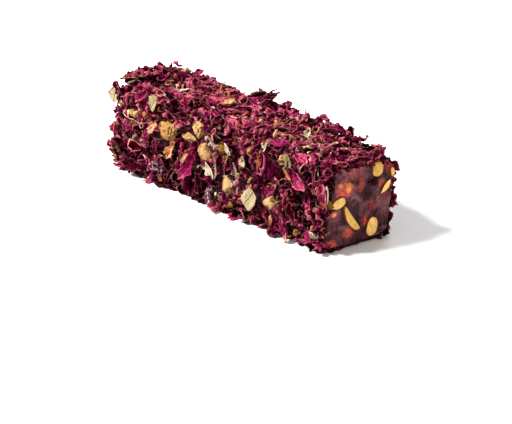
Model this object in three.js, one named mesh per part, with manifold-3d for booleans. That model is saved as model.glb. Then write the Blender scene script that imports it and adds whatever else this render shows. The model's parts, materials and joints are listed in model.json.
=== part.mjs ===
// A bar of Turkish delight, cut from a longer log. A soft dark red jelly holds pistachio kernels and lumps of
// fruit, and a matted coat of dried rose petals is pressed on to its four long sides. Both ends are plain cuts,
// where the jelly and the sliced kernels show inside the rim of petals.
//
// Millimetres, +Z up. +X runs along the bar to its front cut, and -Y is the broad side that leans inwards.
// The group's origin is the middle of the bar's box, on the flat underside.

import * as THREE from "three";
import { mergeVertices } from "three/addons/utils/BufferGeometryUtils.js";
import Module from "manifold-3d";

const wasm = await Module();
wasm.setup();

// ---- Driving dimensions ----
const LENGTH = 128; // between the two cut faces
const COAT = 2.0; // matted petals over the jelly, to the coat's mean surface
const FIT = 0.3; // clearance between solids that touch
const CORNER = 3.4; // radius of the jelly's long edges
const BOW = 0.7; // how far the broad side wavers over its length
const DENT = 0.45; // unevenness of the sides

// The coated bar's corners at the two cuts, as [y, z]. The section leans and tapers, as hand-cut bars do.
const BACK_CUT = { frontFoot: [-21.0, 0], frontTop: [-15.2, 33.6], rearTop: [20.2, 33.0], rearFoot: [17.4, 0] };
const FRONT_CUT = { frontFoot: [-18.4, 0], frontTop: [-11.0, 32.6], rearTop: [17.6, 30.6], rearFoot: [14.2, 0] };
const CORNERS = ["frontFoot", "rearFoot", "rearTop", "frontTop"]; // anticlockwise, seen from the front cut

const ARC_STEPS = 2; // faces round each long edge
const SIDE_STEPS = 2; // faces across each side
const LENGTH_STEPS = 12; // faces along the bar

// ---- Seeded draws, so that the bar is the same every time ----
function seeded(seed) {
  let state = seed >>> 0;
  return (low = 0, high = 1) => {
    state = (state + 0x6d2b79f5) >>> 0;
    let t = Math.imul(state ^ (state >>> 15), state | 1);
    t ^= t + Math.imul(t ^ (t >>> 7), t | 61);
    return low + ((high - low) * ((t ^ (t >>> 14)) >>> 0)) / 4294967296;
  };
}

// ---- The bar's section ----
// The coated bar's corner at x, drawn in towards the jelly's own corner by the coat.
function cornerAt(name, x) {
  const share = x / LENGTH + 0.5;
  return new THREE.Vector2(...BACK_CUT[name]).lerp(new THREE.Vector2(...FRONT_CUT[name]), share);
}

// The point where the offset lines of two neighbouring sides meet, that far inside corner.
function insetCorner(before, corner, after, inset) {
  const inward = (from, to) => new THREE.Vector2(from.y - to.y, to.x - from.x).normalize();
  const first = inward(before, corner);
  const second = inward(corner, after);
  const middle = first.clone().add(second).normalize();
  return corner.clone().addScaledVector(middle, inset / middle.dot(first));
}

// The outline at x as a ring of { point, normal }, grown by offset from the jelly's own surface.
function outlineAt(x, offset) {
  const corners = CORNERS.map((name) => cornerAt(name, x));
  const ring = [];
  corners.forEach((corner, i) => {
    const before = corners[(i + 3) % 4];
    const after = corners[(i + 1) % 4];
    const centre = insetCorner(before, corner, after, COAT + CORNER);
    const from = Math.atan2(before.x - corner.x, corner.y - before.y);
    let to = Math.atan2(corner.x - after.x, after.y - corner.y);
    if (to < from) to += 2 * Math.PI;
    for (let k = 0; k <= ARC_STEPS; k++) {
      const angle = from + ((to - from) * k) / ARC_STEPS;
      const normal = new THREE.Vector2(Math.cos(angle), Math.sin(angle));
      ring.push({ point: centre.clone().addScaledVector(normal, CORNER + offset), normal });
    }
  });
  return withSideSteps(ring);
}

// Divides the straight run between two long edges into SIDE_STEPS faces.
function withSideSteps(ring) {
  const full = [];
  ring.forEach((here, i) => {
    full.push(here);
    if (i % (ARC_STEPS + 1) !== ARC_STEPS) return;
    const next = ring[(i + 1) % ring.length];
    for (let k = 1; k < SIDE_STEPS; k++) {
      full.push({ point: here.point.clone().lerp(next.point, k / SIDE_STEPS), normal: here.normal.clone() });
    }
  });
  return full;
}

// How far the surface stands off its flat section: a slow waver along the bar and shallow dents. The underside
// has none, because the bar has lain on it.
function unevenness(x, normal) {
  const side = Math.max(0, 1 + Math.min(0, normal.y) * 2);
  const waver = BOW * Math.sin(x / 21 + 0.6 + normal.x) * Math.abs(normal.x);
  const dents = DENT * (Math.sin(x / 6.3 + normal.x * 4.1) + Math.sin(x / 9.7 - normal.y * 3.3 + 1.1));
  return side * (waver + dents);
}

// ---- Making solids ----
function solidFrom(geometry) {
  const bare = new THREE.BufferGeometry();
  bare.setAttribute("position", geometry.getAttribute("position"));
  bare.setIndex(geometry.getIndex());
  const merged = mergeVertices(bare, 1e-4);
  const index = merged.getIndex().array;
  const mesh = new wasm.Mesh({
    numProp: 3,
    vertProperties: new Float32Array(merged.getAttribute("position").array),
    triVerts: new Uint32Array(index),
  });
  return new wasm.Manifold(mesh);
}

function geometryFrom(solid) {
  const mesh = solid.getMesh();
  const geometry = new THREE.BufferGeometry();
  geometry.setAttribute("position", new THREE.BufferAttribute(new Float32Array(mesh.vertProperties), 3));
  geometry.setIndex(new THREE.BufferAttribute(new Uint32Array(mesh.triVerts), 1));
  geometry.computeVertexNormals();
  return geometry;
}

function joined(solids) {
  return solids.reduce((sum, solid) => sum.add(solid));
}

// The largest piece of a solid, without the scraps that a cut has set loose.
function mainPieceOf(solid) {
  return solid.decompose().reduce((best, piece) => (piece.volume() > best.volume() ? piece : best));
}

// A prism along the bar whose sides follow outlineAt, between two places on X.
function barPrism(offset, fromX, toX, steps) {
  const flat = outlineAt(0, offset);
  const shape = new THREE.Shape(flat.map(({ point }) => point));
  const prism = new THREE.ExtrudeGeometry(shape, { depth: toX - fromX, steps, bevelEnabled: false });
  const place = prism.getAttribute("position");
  const nearest = (y, z) => {
    const gaps = flat.map(({ point }) => Math.hypot(point.x - y, point.y - z));
    return gaps.indexOf(Math.min(...gaps));
  };
  for (let i = 0; i < place.count; i++) {
    const x = fromX + place.getZ(i);
    const { point, normal } = outlineAt(x, offset)[nearest(place.getX(i), place.getY(i))];
    const standing = unevenness(x, normal);
    place.setXYZ(i, x, point.x + normal.x * standing, point.y + normal.y * standing);
  }
  return solidFrom(prism);
}

// ---- Kernels ----
// A kernel has a place, a length, a width and how far its long axis is turned, in degrees. One on a cut is placed
// across the cut face, has its own depth, and is turned from upright towards +Y.
const KERNEL_FACES = 8; // round its long axis
const KERNEL_RINGS = 5; // of faces along it

const CUT_KERNELS = {
  front: [
    { name: "round_top", y: 8.3, z: 27.8, long: 6.3, wide: 6.1, deep: 7.6, turn: 8 },
    { name: "wedge_right", y: 12.2, z: 20.2, long: 6.6, wide: 2.9, deep: 6.0, turn: 46 },
    { name: "rim_right", y: 15.4, z: 25.2, long: 4.6, wide: 2.5, deep: 5.0, turn: -6 },
    { name: "left", y: -10.6, z: 18.8, long: 7.4, wide: 4.6, deep: 6.4, turn: 78 },
    { name: "crescent", y: -3.7, z: 11.7, long: 13.6, wide: 4.3, deep: 6.6, turn: 145 },
    { name: "oval_foot", y: 5.9, z: 5.9, long: 7.6, wide: 6.0, deep: 8.2, turn: 12 },
  ],
  back: [
    { name: "upper", y: -8.4, z: 26.2, long: 8.2, wide: 6.4, deep: 7.8, turn: 35 },
    { name: "slice", y: 6.8, z: 20.8, long: 13.2, wide: 4.8, deep: 6.2, turn: -62 },
    { name: "middle", y: -4.6, z: 14.2, long: 7.0, wide: 6.2, deep: 7.4, turn: 10 },
    { name: "low_rear", y: 11.2, z: 8.6, long: 7.8, wide: 5.2, deep: 6.8, turn: 70 },
    { name: "low_front", y: -13.6, z: 8.0, long: 6.6, wide: 5.6, deep: 6.0, turn: -25 },
  ],
};

// Chopped kernels that show through the coat: on the broad front side and on the rear side.
const COAT_KERNELS = [
  { name: "front_chunk", side: "front", x: -32.5, height: 22.6, long: 11.4, wide: 8.0, turn: -70 },
  { name: "front_oval", side: "front", x: -8.5, height: 19.8, long: 9.0, wide: 7.0, turn: -79 },
  { name: "front_upper", side: "front", x: -14.7, height: 27.6, long: 7.2, wide: 6.2, turn: 20 },
  { name: "front_sliver", side: "front", x: -20.0, height: 22.6, long: 9.0, wide: 2.8, turn: 80 },
  { name: "front_low", side: "front", x: 7.3, height: 11.2, long: 8.8, wide: 6.2, turn: 30 },
  { name: "front_arch", side: "front", x: 33.7, height: 11.6, long: 9.4, wide: 4.6, turn: -71 },
  { name: "front_chip", side: "front", x: 35.7, height: 28.4, long: 5.4, wide: 4.0, turn: -60 },
  { name: "rear_chunk", side: "rear", x: 24.0, height: 21.0, long: 8.0, wide: 6.4, turn: 30 },
  { name: "rear_oval", side: "rear", x: -22.0, height: 14.0, long: 7.6, wide: 5.4, turn: -40 },
  { name: "rear_high", side: "rear", x: -46.0, height: 25.0, long: 6.6, wide: 5.4, turn: 75 },
];

// A kernel's body: a long ball with the flat cheeks and blunt foot of a shelled pistachio, grown by FIT for the
// pocket that it lies in. Its long axis is local Y, and local Z points out of the surface.
function kernelSolid({ long, wide, deep }, grown, draw) {
  const ball = new THREE.SphereGeometry(0.5, KERNEL_FACES, KERNEL_RINGS);
  const place = ball.getAttribute("position");
  const foot = draw(0.08, 0.2);
  const hollow = draw(-0.12, 0.12);
  const point = new THREE.Vector3();
  for (let i = 0; i < place.count; i++) {
    point.fromBufferAttribute(place, i);
    const taper = 1 - foot * (point.y * 2) ** 2 * Math.sign(point.y);
    point.x = point.x * taper + hollow * (0.25 - point.y ** 2);
    place.setXYZ(i, point.x * (wide + 2 * grown), point.y * (long + 2 * grown), point.z * (deep + 2 * grown));
  }
  return solidFrom(ball);
}

// The turned and placed kernel, and the same one grown by FIT.
function kernelAndPocket(size, matrix, seed) {
  return [0, FIT].map((grown) => kernelSolid(size, grown, seeded(seed)).transform(matrix.elements));
}

// A matrix whose Z is the outward direction, with the long axis turned round it from up.
function facing(outward, up, origin, turn) {
  const side = new THREE.Vector3().crossVectors(up, outward).normalize();
  const trueUp = new THREE.Vector3().crossVectors(outward, side);
  const base = new THREE.Matrix4().makeBasis(side, trueUp, outward);
  const spin = new THREE.Matrix4().makeRotationZ(THREE.MathUtils.degToRad(turn));
  return new THREE.Matrix4().makeTranslation(origin).multiply(base).multiply(spin);
}

const KERNEL_PROUD = 0.25; // how far a sliced kernel stands out of the softer jelly
const KERNEL_BURIED = 0.32; // share of its depth that lies beyond the knife's cut, and is gone

function cutKernel(end, kernel, index) {
  const away = end === "front" ? 1 : -1;
  const faceX = (away * LENGTH) / 2;
  const depthIn = kernel.deep * (0.5 - KERNEL_BURIED);
  const outward = new THREE.Vector3(away, 0, 0);
  const origin = new THREE.Vector3(faceX - away * depthIn, kernel.y, kernel.z);
  const matrix = facing(outward, new THREE.Vector3(0, 0, 1), origin, -away * kernel.turn);
  const [whole, pocket] = kernelAndPocket(kernel, matrix, 100 + index);
  const knife = slab(faceX + away * KERNEL_PROUD, away);
  return { name: `kernel_${end}_${kernel.name}`, solid: whole.subtract(knife), pocket };
}

// Everything beyond x, on the side that away points to.
function slab(x, away) {
  const size = 40;
  const box = new THREE.BoxGeometry(size, 4 * size, 4 * size);
  box.translate(x + (away * size) / 2, 0, 0);
  return solidFrom(box);
}

// ---- Places on the coat ----
// The point and outward direction on a long side of the coat, at that height.
function onSide(side, x, height) {
  const ring = outlineAt(x, COAT);
  const stride = ARC_STEPS + SIDE_STEPS;
  const first = { rear: 1, front: 3 }[side] * stride + ARC_STEPS;
  const from = ring[first].point;
  const to = ring[(first + SIDE_STEPS) % ring.length].point;
  const share = (height - from.y) / (to.y - from.y);
  const at = from.clone().lerp(to, share);
  const { normal } = ring[first];
  at.addScaledVector(normal, unevenness(x, normal));
  return { point: new THREE.Vector3(x, at.x, at.y), outward: new THREE.Vector3(0, normal.x, normal.y) };
}

const CHOPPED_DEEP = 4.8; // a chopped kernel's thickness
const CHOPPED_SUNK = 1.0; // how far its middle lies under the coat's surface

function coatKernel(kernel, index) {
  const { point, outward } = onSide(kernel.side, kernel.x, kernel.height);
  const origin = point.clone().addScaledVector(outward, -CHOPPED_SUNK);
  const matrix = facing(outward, new THREE.Vector3(0, 0, 1), origin, kernel.turn);
  const [solid, pocket] = kernelAndPocket({ ...kernel, deep: CHOPPED_DEEP }, matrix, 200 + index);
  return { name: `kernel_coat_${kernel.name}`, solid, pocket };
}

// ---- Lumps of fruit just under the cut, which push the jelly out a little ----
const LUMP_SUNK = 1.4; // how far a lump's middle lies under the cut face
const LUMPS = [
  { end: 1, y: -8.0, z: 24.0, wide: 7.4, tall: 6.4, proud: 0.9 },
  { end: 1, y: -11.2, z: 5.6, wide: 6.0, tall: 4.6, proud: 0.8 },
  { end: 1, y: 7.4, z: 13.9, wide: 7.0, tall: 4.4, proud: 0.4 },
  { end: -1, y: 3.4, z: 8.0, wide: 7.0, tall: 6.0, proud: 0.8 },
  { end: -1, y: -12.0, z: 18.6, wide: 5.2, tall: 5.0, proud: 0.6 },
];

function lumpSolid({ end, y, z, wide, tall, proud }) {
  const ball = new THREE.SphereGeometry(0.5, KERNEL_FACES, KERNEL_RINGS);
  ball.scale(2 * (LUMP_SUNK + proud), wide, tall);
  ball.translate(end * (LENGTH / 2 - LUMP_SUNK), y, z);
  return solidFrom(ball);
}

// ---- Petals ----
const PETAL_THICK = 0.8;
const LONG_PETAL = 12.8; // a petal this long or longer has one more row of faces
const ROWS = 11; // rows of petals along the bar
const PITCH = 9.7; // between two petals in a row, round the bar
const ROW_LIMIT = LENGTH / 2 - 4; // no petal's middle lies nearer to a cut
const BARE_UNDERSIDE = 0.2; // share of the way round that lies on the table and has no standing petals
const STAND_OFF = 3.4; // no petal reaches further than this from the matted coat
const OVERHANG = 2.4; // nor further than this past a cut
const KERNEL_CLEAR = 6.0; // no petal's middle comes closer than this to the middle of a chopped kernel

// One dried petal, base at the local origin and tip towards +Y, as a thin wavy plate: narrow at the base, broad
// past the middle, its sides cupped up or folded down and its tip bent over.
function petalSolid(size, draw) {
  const plate = new THREE.BoxGeometry(1, 1, 1, 2, size.long > LONG_PETAL ? 3 : 2, 1);
  const place = plate.getAttribute("position");
  const cup = size.broad * (draw() < 0.55 ? draw(0.1, 0.24) : draw(-0.2, -0.08));
  const bend = draw(-0.22, 0.16) * size.long;
  const roll = draw(-0.22, 0.22);
  const ragged = draw(0, 6.28);
  for (let i = 0; i < place.count; i++) {
    const u = place.getX(i) * 2;
    const v = place.getY(i) + 0.5;
    const half = (size.broad / 2) * (0.42 + 1.4 * v - 0.98 * v ** 3) * (1 + 0.14 * Math.sin(5 * v + ragged + u));
    const side = u * half;
    const tip = size.long * v * (1 + 0.07 * Math.sin(4 * u + ragged)) - 0.12 * size.long * u * u * v;
    const height = cup * (u * u - 0.35) + bend * v * v + roll * v * side + 0.3 * Math.sin(3.1 * u + 4 * v + ragged);
    place.setXYZ(i, side, tip, height + place.getZ(i) * PETAL_THICK);
  }
  return solidFrom(plate);
}

// A place on the coat's outer surface, that share of the way round from the middle of the underside.
function onCoat(x, share) {
  const ring = outlineAt(x, COAT);
  const start = ARC_STEPS + SIDE_STEPS / 2;
  const walk = ring.map((_, i) => ring[(start + i) % ring.length]);
  walk.push(walk[0]);
  const lengths = walk.slice(1).map(({ point }, i) => point.distanceTo(walk[i].point));
  let left = share * lengths.reduce((sum, length) => sum + length);
  let i = 0;
  while (left > lengths[i] && i < lengths.length - 1) left -= lengths[i++];
  const part = left / lengths[i];
  const point = walk[i].point.clone().lerp(walk[i + 1].point, part);
  const normal = walk[i].normal.clone().lerp(walk[i + 1].normal, part).normalize();
  point.addScaledVector(normal, unevenness(x, normal));
  return { point: new THREE.Vector3(x, point.x, point.y), outward: new THREE.Vector3(0, normal.x, normal.y) };
}

function petalAt(place, size, draw) {
  const matrix = facing(place.outward, new THREE.Vector3(1, 0, 0), place.point, draw(0, 360));
  const rise = new THREE.Matrix4().makeRotationX(draw(0.0, 0.3));
  const sink = new THREE.Matrix4().makeTranslation(0, -size.long * 0.5, draw(-0.2, 0.25));
  return petalSolid(size, draw).transform(matrix.multiply(rise).multiply(sink).elements);
}

// Petals in rows along the bar and round it, each moved a little at random.
function scatteredPetals() {
  const draw = seeded(9);
  const petals = [];
  const rowGap = LENGTH / ROWS;
  const kept = COAT_KERNELS.map(({ side, x, height }) => onSide(side, x, height).point);
  for (let row = 0; row < ROWS; row++) {
    const x = -LENGTH / 2 + (row + 0.5) * rowGap;
    const ring = outlineAt(x, COAT);
    const round = ring.reduce((sum, { point }, i) => sum + point.distanceTo(ring[(i + 1) % ring.length].point), 0);
    const covered = 1 - BARE_UNDERSIDE;
    const count = Math.round((round * covered) / PITCH);
    for (let k = 0; k < count; k++) {
      const share = BARE_UNDERSIDE / 2 + (covered * (k + 0.5 + draw(-0.3, 0.3) + (row % 2) * 0.5 - 0.25)) / count;
      const size = { long: draw(9, 13.5), broad: draw(7, 10.5) };
      const along = THREE.MathUtils.clamp(x + draw(-0.3, 0.3) * rowGap, -ROW_LIMIT, ROW_LIMIT);
      const place = onCoat(along, share);
      const clear = kept.every((middle) => middle.distanceTo(place.point) > KERNEL_CLEAR);
      if (clear) petals.push(petalAt(place, size, draw));
    }
  }
  return petals;
}

// ---- The pieces ----
function aboveTable() {
  const box = new THREE.BoxGeometry(3 * LENGTH, LENGTH, LENGTH);
  box.translate(0, 0, LENGTH / 2);
  return solidFrom(box);
}

const cutKernels = ["front", "back"].flatMap((end) => CUT_KERNELS[end].map((kernel, i) => cutKernel(end, kernel, i)));
const coatKernels = COAT_KERNELS.map(coatKernel);
const kernels = [...cutKernels, ...coatKernels];
const pockets = joined(kernels.map(({ pocket }) => pocket));

function jellySolid() {
  const bar = barPrism(0, -LENGTH / 2, LENGTH / 2, LENGTH_STEPS);
  return mainPieceOf(joined([bar, ...LUMPS.map(lumpSolid)]).subtract(pockets));
}

const RIM = 0.4; // the coat ends this far past the knife's cut
const BELOW = 0.3; // cut off the coat's underside, to make it flat

function coatSolid() {
  const sleeve = barPrism(COAT + BELOW, -LENGTH / 2 - RIM, LENGTH / 2 + RIM, LENGTH_STEPS);
  const inside = barPrism(FIT, -LENGTH, LENGTH, 2 * LENGTH_STEPS);
  const petals = joined(scatteredPetals()).intersect(
    barPrism(COAT + STAND_OFF, -LENGTH / 2 - OVERHANG, LENGTH / 2 + OVERHANG, LENGTH_STEPS),
  );
  return mainPieceOf(sleeve.add(petals).intersect(aboveTable()).subtract(inside).subtract(pockets));
}

const JELLY = { color: 0x4a2226, roughness: 0.45, metalness: 0 };
const DRIED_PETAL = { color: 0x7a1238, roughness: 0.75, metalness: 0 };
const PISTACHIO = { color: 0xd9b566, roughness: 0.6, metalness: 0 };

function meshOf(name, solid, finish) {
  const mesh = new THREE.Mesh(geometryFrom(solid), new THREE.MeshStandardMaterial(finish));
  mesh.name = name;
  return mesh;
}

const bar = new THREE.Group();
bar.add(meshOf("jelly", jellySolid(), JELLY));
bar.add(meshOf("petal_coat", coatSolid(), DRIED_PETAL));
kernels.forEach(({ name, solid }) => bar.add(meshOf(name, solid, PISTACHIO)));

// The origin goes to the middle of the bar's box, at the height of the flat underside.
const box = new THREE.Box3().setFromObject(bar);
const middle = box.getCenter(new THREE.Vector3());
bar.position.set(-middle.x, -middle.y, 0);

export default bar;
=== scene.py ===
import json
import math
import random

import bpy
import numpy as np
from mathutils import Matrix, Vector, noise

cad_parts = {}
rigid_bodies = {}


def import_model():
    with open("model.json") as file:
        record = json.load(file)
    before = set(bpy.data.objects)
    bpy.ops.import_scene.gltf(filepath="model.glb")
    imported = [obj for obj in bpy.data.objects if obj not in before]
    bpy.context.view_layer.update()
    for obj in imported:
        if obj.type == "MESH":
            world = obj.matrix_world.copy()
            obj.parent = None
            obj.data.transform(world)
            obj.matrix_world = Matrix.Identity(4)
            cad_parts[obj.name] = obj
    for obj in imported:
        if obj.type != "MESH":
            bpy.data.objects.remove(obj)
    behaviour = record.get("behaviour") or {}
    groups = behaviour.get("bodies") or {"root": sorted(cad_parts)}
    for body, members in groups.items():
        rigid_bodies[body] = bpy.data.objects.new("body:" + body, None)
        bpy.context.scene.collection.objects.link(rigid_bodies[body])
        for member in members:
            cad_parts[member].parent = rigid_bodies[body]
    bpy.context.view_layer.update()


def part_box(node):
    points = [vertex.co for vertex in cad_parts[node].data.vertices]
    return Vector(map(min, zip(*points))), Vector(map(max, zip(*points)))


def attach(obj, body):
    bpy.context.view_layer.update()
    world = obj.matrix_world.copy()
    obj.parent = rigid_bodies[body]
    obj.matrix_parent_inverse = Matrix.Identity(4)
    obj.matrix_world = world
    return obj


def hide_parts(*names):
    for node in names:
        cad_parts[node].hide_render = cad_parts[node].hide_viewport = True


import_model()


# ---- The jelly ----
# Starch and sugar jelly, dark red from pomegranate, poured round the nuts and cut with a knife when set.
# Its sides are hidden by the petals. The two cuts show it: dull and a little frosted, with red lumps of fruit
# that glow under the surface, and a painted highlight and glint on the largest. The section leans and tapers,
# and its sides waver, as hand-cut bars do.
MM = 0.001
LENGTH = 128 * MM
COAT_DEPTH = 2.0 * MM
JELLY_EDGE = 3.4 * MM
WAVER = 0.7 * MM
DENT = 0.45 * MM
# the coated bar's corners (y, z) at the two cuts: front foot, rear foot, rear top, front top
BACK_CUT = np.array([(-21.0, 0), (17.4, 0), (20.2, 33.0), (-15.2, 33.6)]) * MM
FRONT_CUT = np.array([(-18.4, 0), (14.2, 0), (17.6, 30.6), (-11.0, 32.6)]) * MM
EDGE_STEPS = 6
SIDE_STEPS = 30
SIDE_OF = {"underside": 0, "rear": 1, "top": 2, "front": 3}


def unevenness(x, normal):
    side = max(0.0, 1 + min(0.0, normal[1]) * 2)
    waver = WAVER * math.sin(x / (21 * MM) + 0.6 + normal[0]) * abs(normal[0])
    near, far = x / (6.3 * MM) + normal[0] * 4.1, x / (9.7 * MM) - normal[1] * 3.3 + 1.1
    return side * (waver + DENT * (math.sin(near) + math.sin(far)))


def outline(x, offset):
    """The bar's section at x as rings of points and outward normals, grown by offset from the jelly."""
    corners = BACK_CUT + (FRONT_CUT - BACK_CUT) * (x / LENGTH + 0.5)
    points, normals = [], []
    for i in range(4):
        before, corner, after = corners[i - 1], corners[i], corners[(i + 1) % 4]
        first = np.array([corner[1] - before[1], before[0] - corner[0]])
        second = np.array([after[1] - corner[1], corner[0] - after[0]])
        first, second = first / np.linalg.norm(first), second / np.linalg.norm(second)
        middle = (first + second) / np.linalg.norm(first + second)
        centre = corner - middle * (COAT_DEPTH + JELLY_EDGE) / middle.dot(first)
        start = math.atan2(first[1], first[0])
        turn = (math.atan2(second[1], second[0]) - start) % (2 * math.pi)
        for k in range(EDGE_STEPS + 1):
            angle = start + turn * k / EDGE_STEPS
            normal = np.array([math.cos(angle), math.sin(angle)])
            points.append(centre + normal * (JELLY_EDGE + offset))
            normals.append(normal)
    ring, outward = [], []
    for i, (point, normal) in enumerate(zip(points, normals)):
        ring.append(point)
        outward.append(normal)
        if i % (EDGE_STEPS + 1) == EDGE_STEPS:
            last = points[(i + 1) % len(points)]
            for k in range(1, SIDE_STEPS):
                ring.append(point + (last - point) * k / SIDE_STEPS)
                outward.append(normal)
    ring = [point + normal * unevenness(x, normal) for point, normal in zip(ring, outward)]
    return np.array(ring), np.array(outward)


def mesh_piece(name, vertices, faces, material=None):
    mesh = bpy.data.meshes.new(name)
    mesh.from_pydata([tuple(v) for v in vertices], [], faces)
    mesh.polygons.foreach_set("use_smooth", [True] * len(mesh.polygons))
    if material:
        mesh.materials.append(material)
    piece = bpy.data.objects.new(name, mesh)
    bpy.context.scene.collection.objects.link(piece)
    return piece


def add(tree, kind, inputs=None, **settings):
    """A node with its settings, and its inputs by name or number: a value, or another node's socket."""
    made = tree.nodes.new(kind)
    for name, value in settings.items():
        setattr(made, name, value)
    for name, value in (inputs or {}).items():
        value = getattr(value, "socket", value)
        if isinstance(value, bpy.types.NodeSocket):
            tree.links.new(value, made.inputs[name])
        else:
            made.inputs[name].default_value = value
    return made


class Value:
    """A number in a node tree, which is reckoned with like any number: each step adds one Math node."""

    def __init__(self, tree, socket):
        self.tree = tree
        self.socket = socket

    def maths(self, operation, *others):
        made = add(self.tree, "ShaderNodeMath", dict(enumerate((self, *others))), operation=operation)
        return Value(self.tree, made.outputs[0])

    def clip(self):
        """Keeps what the last step gives between 0 and 1."""
        self.socket.node.use_clamp = True
        return self

    def __add__(self, other):
        return self.maths("ADD", other)

    def __sub__(self, other):
        return self.maths("SUBTRACT", other)

    def __rsub__(self, other):
        return self.maths("MULTIPLY_ADD", -1, other)

    def __mul__(self, other):
        return self.maths("MULTIPLY", other)

    def __truediv__(self, other):
        return self.maths("DIVIDE", other)

    def __abs__(self):
        return self.maths("ABSOLUTE")

    def __gt__(self, other):
        return self.maths("GREATER_THAN", other)

    def __lt__(self, other):
        return self.maths("LESS_THAN", other)


def cloudy(tree, place, scale, detail, roughness=0.5, distortion=0.0, w=None):
    """Noise from 0 to 1 at a place, or at each point's own place if it is None. Each w has its own noise."""
    inputs = {"Scale": scale, "Detail": detail, "Roughness": roughness, "Distortion": distortion}
    if place is not None:
        inputs["Vector"] = place
    if w is None:
        return Value(tree, add(tree, "ShaderNodeTexNoise", inputs).outputs["Fac"])
    inputs["W"] = w
    return Value(tree, add(tree, "ShaderNodeTexNoise", inputs, noise_dimensions="4D").outputs["Fac"])


def parts(tree, vector):
    """A vector's three parts, to reckon with."""
    return [Value(tree, socket) for socket in add(tree, "ShaderNodeSeparateXYZ", {0: vector}).outputs]


def painted(tree, name):
    """What paint() wrote on the piece under this name."""
    return Value(tree, add(tree, "ShaderNodeAttribute", attribute_name=name).outputs["Fac"])


def blended(tree, share, one, other):
    """A colour that goes from one to the other by share."""
    made = add(tree, "ShaderNodeMix", {0: share, 6: one, 7: other}, data_type="RGBA")
    return made.outputs[2]


def ramp(tree, value, *stops):
    made = add(tree, "ShaderNodeValToRGB", {0: value})
    elements = made.color_ramp.elements
    while len(elements) < len(stops):
        elements.new(0.5)
    for element, (place, colour) in zip(elements, stops):
        element.position = place
        element.color = (*colour, 1)
    return made.outputs[0]


def new_finish(name, **constant):
    """A material, its tree, its shader with these constant inputs by name, and the place on the piece."""
    finish = bpy.data.materials.new(name)
    finish.use_nodes = True
    tree = finish.node_tree
    shader = tree.nodes["Principled BSDF"]
    for key, value in constant.items():
        shader.inputs[key.replace("_", " ")].default_value = value
    return finish, tree, shader, add(tree, "ShaderNodeTexCoord").outputs["Object"]


def coat_shader(tree, shader, colour, roughness, height, strength, deep=0.8):
    """Gives a shader its colour and roughness, and a bump of that height, its depth in mm."""
    bump = add(tree, "ShaderNodeBump", {"Height": height, "Strength": strength, "Distance": deep * MM})
    tree.links.new(colour, shader.inputs["Base Color"])
    tree.links.new(roughness.socket, shader.inputs["Roughness"])
    tree.links.new(bump.outputs[0], shader.inputs["Normal"])


# fruit and stains on the front cut, a painted highlight and glint on the big lump, and painted shade in
# hollows:
# y, z, width, height (mm), how far it swells, colour and how strong
FRONT_LUMPS = [
    (-7.9, 23.2, 9.4, 8.0, 1.0, (0.46, 0.100, 0.065), 1.0),
    # the next two: a painted highlight and a painted glint on the lump above
    (-6.2, 24.0, 3.6, 3.8, 0.3, (0.74, 0.270, 0.085), 0.9),
    (-10.0, 25.4, 2.6, 2.0, 0.2, (0.60, 0.250, 0.190), 0.8),
    (-9.4, 20.6, 2.0, 1.6, 0.1, (0.20, 0.010, 0.008), 0.8),
    (-14.6, 2.4, 7.4, 6.0, 0.8, (0.46, 0.095, 0.070), 1.0),
    (-5.8, 6.0, 5.4, 4.6, 0.3, (0.44, 0.090, 0.060), 0.9),
    (6.0, 13.9, 6.4, 4.8, 0.4, (0.160, 0.014, 0.018), 0.8),
    (15.0, 27.6, 5.4, 4.8, 0.2, (0.34, 0.034, 0.026), 0.9),
    (2.2, 9.3, 1.8, 4.4, 0.2, (0.46, 0.030, 0.010), 1.0),
    (-12.4, 14.6, 3.4, 2.4, 0.2, (0.66, 0.220, 0.100), 0.95),
    (-2.4, 29.2, 11.4, 7.4, 0.0, (0.27, 0.072, 0.072), 0.9),
    (0.4, 23.6, 3.0, 6.8, 0.2, (0.36, 0.038, 0.026), 0.9),
    (10.4, 22.0, 4.4, 3.6, 0.1, (0.30, 0.080, 0.042), 0.9),
    (11.6, 16.6, 4.8, 3.6, 0.1, (0.24, 0.028, 0.028), 0.8),
    (11.2, 11.6, 5.0, 8.6, 0.0, (0.180, 0.068, 0.074), 0.7),
    # painted shade where the cut lies in hollows, dull as well as dark
    (6.2, 23.4, 7.4, 5.0, 0.0, (0.026, 0.001, 0.004), 1.0),
    (4.0, 18.0, 8.0, 4.4, 0.0, (0.055, 0.015, 0.022), 0.7),
    (-9.6, 10.6, 6.4, 3.6, 0.0, (0.040, 0.010, 0.014), 0.6),
]
BACK_LUMPS = [
    (3.4, 8.0, 7.2, 6.2, 0.8, (0.38, 0.070, 0.030), 0.9),
    (-12.0, 18.6, 5.4, 5.2, 0.6, (0.34, 0.055, 0.032), 0.85),
    (12.4, 25.6, 5.0, 3.6, 0.2, (0.26, 0.030, 0.026), 0.7),
    (-2.0, 21.4, 6.4, 3.4, 0.1, (0.20, 0.024, 0.024), 0.6),
]
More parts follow.
